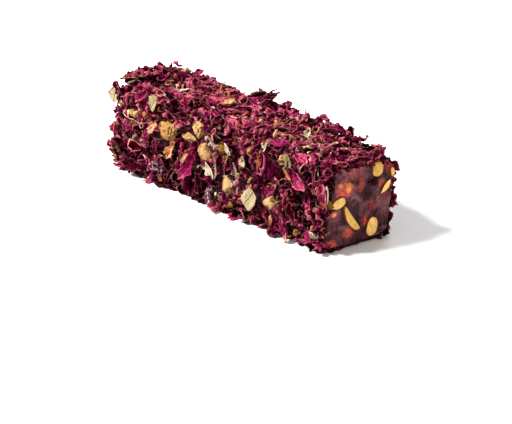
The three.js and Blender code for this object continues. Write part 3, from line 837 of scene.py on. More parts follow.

# side, place along the bar and up the side or across the top or cut, turn (degrees), lift, tilt (radians),
# length, breadth, cup, curl, how light, and kind: below 0 is all tan, under 0.2 has a tan foot, over 0.8 has
# a pale margin with a painted highlight along it
OUTERMOST = [
    ("front", -60.5, 23.2, 10, 1.4, 0.3, 7.0, 5.0, 1.2, 0.6, 0.80, 0.02),
    ("front", -47.0, 33.2, 145, 1.8, 0.1, 7.8, 6.2, 1.7, 0.4, 0.74, 0.40),
    ("front", -43.4, 26.2, -36, 1.6, 0.2, 5.0, 4.0, 1.4, 0.2, 0.76, 0.10),
    ("front", -39.6, 20.8, 160, 1.8, 0.2, 7.4, 4.2, 1.3, 0.4, 0.74, -0.30),
    ("front", -56.6, 28.2, -30, 1.8, 0.2, 7.4, 6.0, 1.4, 0.5, 0.84, 0.50),
    ("front", -53.0, 19.0, 40, 1.8, 0.2, 7.0, 5.4, 1.6, 0.6, 0.80, 0.30),
    ("front", -61.6, 15.4, -10, 1.8, 0.2, 7.6, 5.8, 1.4, 0.6, 0.86, 0.85),
    ("front", -62.6, 8.4, 20, 1.8, 0.2, 7.0, 5.6, 1.6, 0.8, 0.82, 0.95),
    ("front", -56.0, 12.0, 60, 1.6, 0.2, 9.0, 7.0, 1.3, 0.8, 0.36, 0.60),
    ("front", -46.1, 13.2, 80, 2.4, 0.0, 8.0, 8.4, 1.5, 1.2, 0.42, 1.00),
    ("front", -35.3, 14.1, 4, 1.8, 0.1, 9.4, 5.0, 1.6, 0.3, 0.56, 0.50),
    ("front", -47.0, 5.0, 86, 1.6, 0.0, 12.0, 8.0, 0.9, 0.5, 0.20, 0.40),
    ("front", -30.0, 8.0, 30, 1.8, 0.0, 10.5, 7.0, 1.2, 0.6, 0.28, 0.50),
    ("front", -27.4, 15.8, 165, 2.2, 0.1, 7.6, 6.2, 1.2, 0.5, 0.50, -0.80),
    ("front", -14.4, 12.8, 160, 3.0, 0.1, 11.5, 8.0, 1.0, 0.3, 0.66, 0.30),
    ("front", -15.8, 15.8, 150, 3.8, 0.1, 5.0, 2.2, 1.4, 0.3, 0.60, -0.80),
    ("front", -6.7, 9.8, 6, 1.6, 0.0, 9.5, 7.5, 1.2, 0.4, 0.10, 0.30),
    ("front", 5.2, 31.2, -56, 2.0, 0.2, 11.0, 5.0, 2.4, 0.5, 0.80, 0.75),
    ("front", 2.6, 32.4, -20, 1.2, 0.1, 7.6, 6.4, 1.0, 0.4, 0.28, 0.60),
    ("front", -2.4, 29.4, -60, 1.6, 0.2, 5.0, 3.6, 1.5, 0.4, 0.80, 0.95),
    ("front", 20.0, 19.0, 76, 1.4, 0.0, 9.0, 5.0, 1.0, 0.4, 0.10, 0.60),
    ("front", 31.6, 24.4, -140, 2.2, 0.0, 11.6, 11.2, -1.1, -0.5, 0.24, 0.30),
    ("front", 27.0, 25.4, -168, 3.2, 0.0, 7.4, 3.6, -0.6, -0.3, 0.06, -0.80),
    ("front", 47.2, 23.6, -106, 2.3, 0.1, 13.0, 8.6, 1.3, 0.4, 0.78, 0.50),
    ("front", 42.6, 25.0, -118, 3.0, 0.1, 6.6, 2.4, 1.6, 0.5, 0.42, -0.80),
    ("front", 34.8, 16.9, 176, 1.8, 0.2, 5.8, 5.6, 1.3, 0.7, 0.74, 0.05),
    ("front", 45.2, 18.6, -40, 1.8, 0.0, 6.4, 6.2, 2.2, 2.2, 0.44, 1.00),
    ("front", 46.8, 11.2, 20, 1.6, 0.1, 8.0, 6.0, 1.3, 0.6, 0.36, 0.50),
    ("front", 44.5, 4.2, 22, 1.8, 0.0, 9.6, 6.6, 1.3, 0.3, 0.77, 0.08),
    ("front", 50.4, 9.2, -30, 2.0, 0.4, 5.0, 3.6, 1.8, 1.4, 0.72, 0.08),
    ("front", 54.0, 8.4, 50, 2.0, 0.3, 4.6, 3.6, 1.8, 1.8, 0.76, 0.05),
    ("front", 62.4, 20.8, 8, 2.0, 0.1, 11.0, 8.0, 1.0, 0.4, 0.76, 0.60),
    ("front", 52.2, 32.8, -84, 1.8, 0.1, 6.4, 4.6, 1.0, 0.3, 0.72, 0.10),
    ("front", 61.5, 29.0, -50, 1.6, 0.1, 7.0, 5.5, 1.2, 0.3, 0.42, 0.50),
    ("front", 62.6, 12.4, -60, 1.4, 0.1, 7.0, 5.5, 1.4, 0.9, 0.40, 0.60),
    ("top", -61.2, -7.6, 60, 3.4, -0.02, 12.0, 6.6, 0.6, 0.1, 0.86, 0.50),
    ("top", -61.0, -10.6, 62, 3.2, 0.00, 8.6, 2.6, 0.6, 0.1, 0.66, -0.80),
    ("top", -58.0, 12.0, 100, 2.4, 0.1, 6.4, 4.4, 1.0, 0.3, 0.72, -0.60),
    ("top", -54.0, 16.0, 110, 1.4, 0.2, 8.6, 6.0, 1.2, 0.5, 0.76, 0.60),
    ("top", -42.0, 11.0, 40, 1.2, 0.0, 9.0, 6.5, 0.9, 0.3, 0.68, 0.50),
    ("top", -48.9, -1.6, -80, 1.6, 0.1, 5.6, 3.4, 1.2, 0.5, 0.60, -0.60),
    ("top", -25.9, 9.4, 50, 1.2, 0.0, 8.0, 5.5, 1.0, 0.4, 0.80, 0.95),
    ("top", -15.8, 1.6, 70, 1.5, 0.0, 9.0, 6.4, 0.8, 0.2, 0.56, -0.50),
    ("top", -9.0, 6.0, 15, 1.4, 0.0, 12.5, 8.0, 0.8, 0.2, 0.74, 0.50),
    ("top", 3.0, 10.0, 5, 1.2, 0.0, 12.0, 8.0, 0.8, 0.3, 0.60, 0.50),
    ("top", 21.6, 4.2, 115, 1.4, 0.1, 8.6, 7.0, 1.7, 0.9, 0.80, 0.60),
    ("top", 33.0, 15.4, 20, 1.2, 0.0, 11.5, 7.0, 0.9, 0.3, 0.68, 0.50),
    ("top", 46.0, 2.0, 35, 1.2, 0.0, 10.0, 7.5, 1.1, 0.5, 0.64, 0.40),
    ("top", 58.4, 3.0, -20, 1.4, 0.1, 9.5, 7.0, 1.2, 0.6, 0.44, 0.85),
    ("top", 61.6, -5.0, 30, 1.2, 0.2, 7.6, 6.4, 1.1, 0.6, 0.64, 0.80),
    ("top", 56.0, 12.0, 10, 1.8, 0.1, 10.5, 6.6, 1.0, 0.5, 0.18, 0.95),
    ("top", -61.6, 13.6, 20, 1.2, -0.05, 9.0, 7.0, 1.2, 0.2, 0.50, 0.50),
    ("top", -56.6, 14.8, -30, 1.2, 0.00, 8.6, 7.0, 1.4, 0.2, 0.60, 0.60),
    ("top", -50.0, 16.0, 30, 1.2, 0.00, 8.0, 6.6, 1.4, 0.2, 0.40, 0.40),
    ("top", -63.6, -9.0, 50, 2.4, 0.10, 8.5, 7.0, 1.2, 0.4, 0.50, 0.60),
    ("top", -64.0, -3.0, 80, 2.6, 0.15, 8.0, 7.0, 1.3, 0.5, 0.40, 0.50),
    ("top", -64.0, 3.0, 110, 1.8, 0.15, 8.0, 7.0, 1.3, 0.5, 0.62, 0.60),
    ("top", -63.0, 8.5, 60, 1.6, 0.10, 8.0, 7.0, 1.3, 0.4, 0.42, 0.40),
    ("top", -60.4, -3.6, 30, 2.8, 0.10, 8.0, 6.4, 1.2, 0.4, 0.54, 0.50),
    ("top", -61.4, 2.0, 140, 3.0, 0.10, 8.0, 6.8, 1.3, 0.5, 0.60, 0.60),
    ("top", -60.0, 6.6, 70, 2.4, 0.10, 8.0, 6.4, 1.3, 0.4, 0.40, 0.50),
    ("rear", 61.4, 26.6, 100, 0.6, 0.05, 6.4, 6.0, 1.6, 0.7, 0.42, 0.60),
    ("rear", 61.8, 21.0, -70, 0.6, 0.05, 6.0, 5.2, 1.6, 0.7, 0.32, 0.50),
    ("rear", 61.8, 14.6, 80, 0.6, 0.05, 6.4, 5.2, 1.6, 0.7, 0.36, 0.85),
    ("rear", 61.8, 7.2, -80, 0.5, 0.05, 6.0, 5.0, 1.6, 0.7, 0.32, 0.40),
    ("cut", -9.6, 33.8, -80, 0.6, 0.3, 4.4, 3.4, 1.2, 0.8, 0.64, 0.85),
    ("cut", 0.6, 33.6, -84, 0.7, 0.3, 6.4, 3.2, 0.9, 0.5, 0.34, 0.50),
    ("cut", -16.6, 8.4, 20, 0.5, 0.2, 4.6, 3.6, 1.4, 0.9, 0.48, 0.90),
    ("front", 30.0, 26.0, -152, 4.0, 0.05, 10.5, 4.6, 2.0, 0.5, 0.74, 0.45),
    ("top", -62.8, -11.6, 40, 2.6, 0.10, 7.6, 5.0, 1.3, 0.4, 0.36, 0.50),
    ("top", 60.6, 9.6, 60, 2.6, 0.20, 7.6, 5.6, 1.2, 0.4, 0.50, 0.60),
    ("top", 62.0, 1.6, -70, 2.4, 0.10, 7.4, 5.4, 1.3, 0.5, 0.62, 0.50),
    ("top", -16.0, 15.6, 30, 2.6, 0.15, 9.0, 6.0, 1.6, 0.6, 0.04, 0.50),
    ("top", -10.5, 17.0, 60, 2.4, 0.10, 8.0, 5.4, 1.6, 0.5, 0.02, 0.50),
    ("top", -1.0, 17.0, 10, 2.2, 0.10, 9.0, 6.0, 1.3, 0.5, 0.36, 0.60),
    ("top", 19.4, 16.8, 20, 2.0, 0.05, 10.0, 6.0, 1.4, 0.5, 0.46, 0.50),
    ("top", 28.6, 16.2, -30, 1.9, 0.10, 8.6, 6.4, 1.6, 0.5, 0.52, 0.60),
    ("top", 38.0, 16.0, 40, 2.0, 0.05, 6.4, 4.0, 1.2, 0.4, 0.60, -0.50),
    ("top", 47.6, 15.0, -10, 1.8, 0.05, 8.0, 5.6, 1.5, 0.6, 0.42, 0.60),
    ("top", -64.6, -4.2, 180, 1.6, 1.00, 7.0, 8.0, 1.0, 0.3, 0.44, 0.50),
    ("top", -64.4, -9.4, 170, 1.2, 0.90, 6.5, 7.0, 1.0, 0.3, 0.36, 0.50),
    ("top", -64.4, -5.6, 20, 1.4, 0.10, 8.0, 7.4, 1.2, 0.4, 0.36, 0.50),
    ("top", -63.4, -9.6, 80, 1.2, 0.10, 7.6, 7.0, 1.2, 0.4, 0.44, 0.50),
    ("front", -63.0, 31.6, 20, 1.4, 0.10, 7.0, 6.4, 1.2, 0.4, 0.50, 0.60),
    ("top", 10.9, -5.1, 6, 1.8, 0.10, 5.4, 1.9, 1.8, 1.2, 0.44, -0.60),
    ("top", 17.1, -2.2, 16, 2.0, 0.10, 6.0, 1.9, 1.8, 1.6, 0.50, -0.60),
    ("top", 26.7, -9.1, -40, 2.0, 0.10, 10.0, 1.7, 1.6, 2.2, 0.66, -0.60),
    ("top", 16.8, 8.2, 4, 1.8, 0.10, 6.1, 1.9, 1.6, 1.4, 0.64, -0.50),
    ("top", 48.3, 0.1, -4, 2.0, 0.10, 6.7, 3.2, 1.0, 0.6, 0.80, -0.60),
    ("top", 31.0, 7.0, 60, 1.8, 0.10, 5.4, 1.8, 1.6, 2.0, 0.52, -0.60),
    ("top", 39.6, -4.4, 100, 1.8, 0.10, 5.4, 2.4, 1.4, 1.2, 0.60, -0.60),
    ("top", 45.6, -8.6, 30, 1.8, 0.10, 6.0, 4.4, 1.0, 0.4, 0.80, -0.30),
]


def on_surface(side, along, level):
    """The point and outward direction on a side of the coat, or on the front cut (across it, and up it)."""
    if side == "cut":
        return Vector((LENGTH / 2, along * MM, level * MM)), Vector((1, 0, 0))
    return on_coat(side, along * MM, level * MM)


noise.seed_set(4)  # noise_vector takes its offsets from this


def set_down(sheet, side, along, level, turn, lift, tilt, crumple):
    """A petal's sheet of points laid on the bar one by one: turned, its tip tilted off the surface, lifted,
    and then crumpled in its own way."""
    point, out = on_surface(side, along, level)
    turned = laid(out, turn) @ Matrix.Rotation(tilt, 3, "X")
    placed = sheet @ np.array(turned).T + np.array(point + out * lift * MM)
    for place in placed.reshape(-1, 3):
        broad, fine = Vector(place) / (3.2 * MM), Vector(place) / (1.3 * MM)
        place += np.array(noise.noise_vector(broad) * 0.60 + noise.noise_vector(fine) * 0.26) * crumple * MM
    return placed


def one_piece(name, shells, material, shades, kinds):
    """Joins finished shells into one piece, with the shade and kind of each for the material."""
    points, faces, places, tints, sorts = [], [], [], [], []
    for (shell, quads, spots), shade, kind in zip(shells, shades, kinds):
        faces += [tuple(k + len(points) for k in quad) for quad in quads]
        points += list(shell)
        places += spots
        tints += [shade] * len(shell)
        sorts += [kind] * len(shell)
    piece = petal_piece(name, points, faces, places, material)
    paint(piece, "tint", tints)
    paint(piece, "kind", sorts)
    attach(piece, "root")


shells = []
for k, (side, along, level, turn, lift, tilt, long, broad, cup, curl, _, _) in enumerate(OUTERMOST):
    sheet = dried_sheet(
        OUTERMOST_SEED + k, petal_form, rows=20, columns=16, long=long, broad=broad, cup=cup,
        roll=(-0.4, 0.8), curl=curl, twist=(-0.4, 0.4), frill=0.06, crease=0.04,
    )
    shells.append(shell_of(set_down(sheet, side, along, level, turn, lift, tilt, 1.3), OUTERMOST_THICK))
    kept_clear.append((on_surface(side, along, level)[0], ((long + broad) / 4 - OUTERMOST_OVERLAP) * MM))
shades, kinds = [row[-2] for row in OUTERMOST], [row[-1] for row in OUTERMOST]
one_piece("outermost_petals", shells, petal_red, shades, kinds)


# ---- The leaves and sepals ----
# Bits of the rose's green: dried leaflets with a dark midrib, and narrow sepals, grey-green to nearly white,
# stiff and curled. Large ones lie on the coat, small ones are mixed into it.
LEAF_THICK = 0.24 * MM
LEAF_OVERLAP = 1.8  # how far over a leaf's edge the loose petals may reach (mm)
LEAF_SEED = 1100


def leaf_form(v):
    return 0.04 + 1.0 * np.sin(np.pi * np.clip(v, 0, 1) ** 0.85) ** 0.9


def sepal_form(v):
    return 0.35 + 1.3 * v * (1 - v) + 0.3 * (1 - v)


def leaf_finish():
    """Leaf that is olive to nearly white by its tint, clouded, with a dark midrib and fine side veins."""
    finish, tree, shader, place = new_finish("dried leaf", Specular_IOR_Level=0.12)
    across, along, _ = parts(tree, add(tree, "ShaderNodeUVMap", uv_map="petal").outputs[0])
    cloud = cloudy(tree, place, 500, 5, 0.6)
    aside = abs(across - 0.5)
    ribs = abs(((aside * -1.2 + along) * 26).maths("SINE"))
    midrib = (1 - aside * 17).clip()
    colour = ramp(
        tree, (painted(tree, "tint") + (cloud * 0.9 - 0.45) + (ribs * 0.16 - 0.08)).clip(),
        (0.0, (0.070, 0.052, 0.024)), (0.35, (0.230, 0.180, 0.095)), (0.65, (0.430, 0.358, 0.232)),
        (1.0, (0.680, 0.590, 0.450)),
    )
    colour = blended(tree, midrib * 0.8, colour, (0.035, 0.025, 0.012, 1))
    coat_shader(tree, shader, colour, cloud * 0.4 + 0.4, ribs * 0.35 + cloud - midrib * 0.6, 0.8, deep=0.5)
    return finish


# side, place along and up or across, turn, lift, tilt, length, breadth, cup, curl, how pale, how far its
# midrib slants (degrees, as a torn piece's does), and its form
LEAVES = [
    ("front", 24.8, 11.2, -3, 3.0, 0.05, 10.8, 8.4, 0.12, 0.1, 0.48, 38, leaf_form),
    ("front", -1.2, 14.4, 28, 2.0, 0.1, 7.4, 5.4, 0.9, 0.4, 0.95, 0, leaf_form),
    ("front", 0.8, 19.0, 4, 1.8, 0.2, 6.0, 2.4, 1.0, 0.3, 0.45, 0, sepal_form),
    ("front", 2.6, 14.8, -30, 2.0, 0.2, 6.4, 2.2, 1.0, 0.5, 0.75, 0, sepal_form),
    ("front", 16.6, 22.6, -114, 2.2, 0.2, 7.2, 4.2, 1.6, 0.5, 0.60, 0, leaf_form),
    ("front", 13.4, 18.6, 12, 2.0, 0.2, 6.2, 2.6, 1.5, 0.5, 0.65, 0, leaf_form),
    ("front", 7.4, 25.0, 28, 2.2, 0.2, 5.4, 2.8, 1.2, 0.5, 0.95, 0, leaf_form),
    ("front", -3.8, 25.6, 14, 2.0, 0.3, 6.4, 2.0, 1.8, 1.4, 0.90, 0, sepal_form),
    ("front", -1.4, 24.6, -24, 2.2, 0.3, 6.8, 1.6, 1.6, 1.8, 0.98, 0, sepal_form),
    ("front", 2.2, 24.8, -60, 2.2, 0.3, 6.6, 1.4, 1.6, 2.0, 0.85, 0, sepal_form),
    ("front", 41.2, 29.0, -118, 1.8, 0.1, 7.6, 1.6, 1.2, 0.5, 0.40, 0, sepal_form),
    ("front", 39.6, 27.8, -128, 1.8, 0.2, 6.4, 1.1, 1.2, 0.8, 0.55, 0, sepal_form),
    ("front", -39.4, 31.8, -38, 2.4, 0.1, 8.0, 7.0, 0.6, 0.2, 0.42, 0, leaf_form),
    ("front", 27.4, 31.2, -36, 2.0, 0.1, 4.8, 3.8, 0.9, 0.3, 0.90, 0, leaf_form),
    ("front", 64.2, 22.4, -4, 2.4, 0.1, 7.6, 3.0, 1.2, 0.5, 0.78, 0, leaf_form),
    ("front", 59.8, 6.8, 40, 2.0, 0.2, 4.6, 3.2, 1.6, 1.6, 0.80, 0, leaf_form),
    ("front", -66.2, 29.4, 8, 0.8, -0.1, 7.6, 8.2, 0.4, 0.3, 0.50, 20, leaf_form),
    ("top", -38.3, -3.0, 80, 1.6, 0.0, 5.6, 3.0, 0.8, 0.3, 0.85, 0, leaf_form),
    ("top", 30.6, 3.0, 128, 1.8, 0.2, 6.2, 3.6, 1.4, 0.8, 0.85, 0, leaf_form),
    ("top", -61.0, -11.4, 60, 1.6, 0.2, 5.4, 3.6, 1.2, 0.5, 0.60, 0, leaf_form),
    ("rear", 12.0, 12.0, 30, 2.4, 0.1, 10.0, 5.8, 0.5, 0.3, 0.55, 0, leaf_form),
    ("rear", -34.0, 22.0, -60, 2.4, 0.1, 8.6, 4.8, 0.7, 0.4, 0.80, 0, leaf_form),
]


def slanted(places, degrees, stretch):
    """A leaf's UV turned about its middle, so that the midrib crosses a torn piece at a slant."""
    cos, sin = math.cos(math.radians(degrees)), math.sin(math.radians(degrees))
    turned = []
    for u, v in places:
        across, along = u - 0.5, (v - 0.5) * stretch
        turned.append((0.5 + across * cos - along * sin, 0.5 + (across * sin + along * cos) / stretch))
    return turned


dried_leaf = leaf_finish()
shells = []
for k, (side, along, level, turn, lift, tilt, long, broad, cup, curl, _, slant, form) in enumerate(LEAVES):
    sheet = dried_sheet(
        LEAF_SEED + k, form, rows=18, columns=8, long=long, broad=broad, cup=cup, roll=(-0.2, 0.2),
        curl=curl, twist=(-0.2, 0.2), frill=0.015, crease=0.008, torn=0.08,
    )
    points, quads, spots = shell_of(set_down(sheet, side, along, level, turn, lift, tilt, 0.3), LEAF_THICK)
    shells.append((points, quads, slanted(spots, slant, long / broad)))
    kept_clear.append((on_surface(side, along, level)[0], ((long + broad) / 4 - LEAF_OVERLAP) * MM))
one_piece("leaves_and_sepals", shells, dried_leaf, [row[-3] for row in LEAVES], [0.5] * len(LEAVES))


# ---- The twig and the long threads ----
# A dark twig that forks over the rear top edge, and stamens as fine as hair over the petals at the far end: a
# long one, one in a loop across it, and a stray one that stands off the edge.
# how thick each is at its foot (mm), how light, its kind, and its places along its length (x, y, z in mm)
FIBRES = [
    (2.1, 0.20, 0.4, [
        (-18.0, 13.0, 33.0), (-13.6, 17.0, 34.6), (-10.6, 18.8, 35.9), (-8.2, 19.6, 36.3), (-6.0, 19.8, 37.6),
    ]),
    (1.1, 0.24, 0.4, [(-10.6, 18.8, 35.9), (-9.8, 19.0, 37.2), (-7.2, 19.6, 38.4)]),
    (0.42, 1.0, -0.8, [
        (-56.4, -18.6, 25.0), (-55.7, -19.9, 24.4), (-52.2, -20.2, 23.5), (-49.0, -20.0, 23.6),
        (-45.1, -20.3, 23.1), (-41.9, -19.7, 23.8), (-41.0, -18.4, 24.0),
    ]),
    (0.34, 0.9, -0.8, [
        (-45.0, -19.6, 23.4), (-44.9, -20.0, 22.0), (-43.7, -20.2, 21.4),
        (-42.5, -20.1, 22.2), (-42.6, -20.0, 23.4), (-43.8, -20.1, 24.0),
    ]),
    (0.36, 0.55, -0.8, [
        (-64.0, -16.8, 18.0), (-66.6, -19.6, 18.6), (-67.4, -21.0, 20.0), (-67.0, -22.4, 21.2),
    ]),
]


def fibre(places, thick, sides=6, steps=8):
    """A thin round fibre on a smooth curve through these places, tapering to its tip, as a closed shell."""
    places = [Vector(place) * MM for place in places]
    guides = [places[0] * 2 - places[1]] + places + [places[-1] * 2 - places[-2]]
    path = []
    for k in range(len(places) - 1):
        a, b, c, d = guides[k:k + 4]
        for t in np.arange(steps) / steps:
            bend = (a * 2 - b * 5 + c * 4 - d) * t ** 2 + (b * 3 - a - c * 3 + d) * t ** 3
            path.append((b * 2 + (c - a) * t + bend) / 2)
    path.append(places[-1])
    points, quads, spots = [], [], []
    last = len(path) - 1
    for k, point in enumerate(path):
        ahead = (path[min(k + 1, last)] - path[max(k - 1, 0)]).normalized()
        aside = ahead.cross(Vector((0.3, 0.5, 0.8))).normalized()
        knot = 1 + 0.25 * noise.noise(point / (0.7 * MM))
        radius = thick / 2 * MM * (1 - 0.7 * k / last) * knot
        for n in range(sides):
            angle = 2 * math.pi * n / sides
            points.append(point + (aside * math.cos(angle) + ahead.cross(aside) * math.sin(angle)) * radius)
            spots.append((n / sides, k / last))
            if k < last:
                m = (n + 1) % sides
                quads.append((k * sides + n, k * sides + m, (k + 1) * sides + m, (k + 1) * sides + n))
    quads.append(tuple(range(sides))[::-1])
    quads.append(tuple(last * sides + n for n in range(sides)))
    return points, quads, spots


shells = [fibre(places, thick) for thick, _, _, places in FIBRES]
one_piece("twig_and_long_threads", shells, petal_red, [row[1] for row in FIBRES], [row[2] for row in FIBRES])


# ---- The loose nut pieces ----
# Pieces of kernel, 2 to 6 mm, that show on the front side between the petals, from dull tan to golden. Some
# still have scraps of their brown skin.
# place along and up the side, length, breadth (mm), turn (degrees), lift (mm), how golden, how much skin
NUT_PIECES = [
    (-51.4, 25.0, 3.6, 2.6, 60, 1.6, -0.2, 0.0),
    (-48.6, 25.2, 3.8, 3.0, -30, 1.8, 0.1, 0.1),
    (-46.6, 23.8, 2.8, 2.2, 20, 1.6, 0.4, 0.3),
    (-44.0, 26.0, 3.8, 3.0, 70, 1.4, 1.2, 0.4),
    (4.4, 24.6, 3.8, 3.4, 20, 2.0, 1.3, 0.5),
    (15.4, 17.0, 2.2, 1.8, 0, 2.4, -0.4, 0.0),
    (62.2, 18.6, 6.0, 3.6, 80, -0.2, 0.9, 0.4),
    (13.6, 5.6, 2.4, 2.0, 40, 2.0, 0.9, 0.2),
    (50.6, 5.2, 2.6, 2.0, -20, 1.8, 0.8, 0.1),
]
NUT_SEED = 50
points, faces, golds, skins, splits = [], [], [], [], []
for k, (along, level, long, broad, turn, lift, golden, skin) in enumerate(NUT_PIECES):
    place, out = on_surface("front", along, level)
    turned = laid(out, turn)
    body, cracks = kernel_body(long, broad, broad, NUT_SEED + k, 0.44, blunt=2.3, breaks=4)
    faces += [tuple(n + len(points) for n in face) for face in ball_faces(KERNEL_ROUNDS, KERNEL_LEVELS)]
    points += [turned @ point + place + out * lift * MM for point in body]
    golds += [golden] * len(body)
    skins += [skin] * len(body)
    splits += cracks
nut_pieces = mesh_piece("loose_nut_pieces", points, faces, chopped_finish)
paint_nut(nut_pieces, golds, skins, splits)
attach(nut_pieces, "root")


# ---- The broad petals ----
# Whole dried rose petals, 8 to 12 mm: crimson to nearly black, with a tan claw where they grew on the flower
# and a paler, frilled margin. Drying has cupped and creased them and rolled their margins.
PETAL_THICK = 0.17 * MM
COAT_REACH = LENGTH / 2 - 2.5 * MM
SKIN_STEP = 1.4 * MM
GIVE = 0.8 * MM  # how softly the knife and the table stop a petal


def skin_object(name, sides, offset=COAT_DEPTH, start=-COAT_REACH, stop=COAT_REACH, edges=True):
    """The coat's surface on these sides, to lay petals on, with the gap to the nearest place they avoid."""
    rows = np.linspace(start, stop, max(3, round((stop - start) / SKIN_STEP)))
    stride = EDGE_STEPS + SIDE_STEPS
    count = len(outline(0, 0)[0])
    vertices, faces = [], []
    for x in rows:
        vertices += [(x, *point) for point in outline(x, offset)[0]]
    for row in range(len(rows) - 1):
        for side in sides:
            first = SIDE_OF[side] * stride + (0 if edges else EDGE_STEPS)
            last = SIDE_OF[side] * stride + stride + (EDGE_STEPS if edges and side == sides[-1] else 0)
            for k in range(first, last):
                a, b = row * count + k % count, row * count + (k + 1) % count
                faces.append((a, b, b + count, a + count))
    skin = mesh_piece(name, vertices, faces)
    gaps = [min((Vector(v) - middle).length - size for middle, size in kept_clear) for v in vertices]
    paint(skin, "kernel_gap", gaps)
    return skin


# what the scatter is told: its name, its kind of socket, and what it is when a call says nothing
SCATTER_INPUTS = [
    ("Petals", "NodeSocketCollection", None), ("Material", "NodeSocketMaterial", None),
    ("Seed", "NodeSocketInt", 1), ("Spacing", "NodeSocketFloat", 4 * MM),
    ("Smallest", "NodeSocketVector", (0.8, 0.8, 0.8)), ("Largest", "NodeSocketVector", (1.2, 1.2, 1.2)),
    ("Least tilt", "NodeSocketFloat", 0.0), ("Most tilt", "NodeSocketFloat", 0.5),
    ("Spin", "NodeSocketFloat", 3.14), ("Low", "NodeSocketFloat", 0.0), ("High", "NodeSocketFloat", 1 * MM),
    ("Crumple", "NodeSocketFloat", 0.5 * MM), ("Crumple rate", "NodeSocketFloat", 330.0),
    ("Kernel gap", "NodeSocketFloat", 2 * MM), ("Knife", "NodeSocketFloat", 64.5 * MM),
    ("Darkest", "NodeSocketFloat", 0.0), ("Lightest", "NodeSocketFloat", 1.0),
]


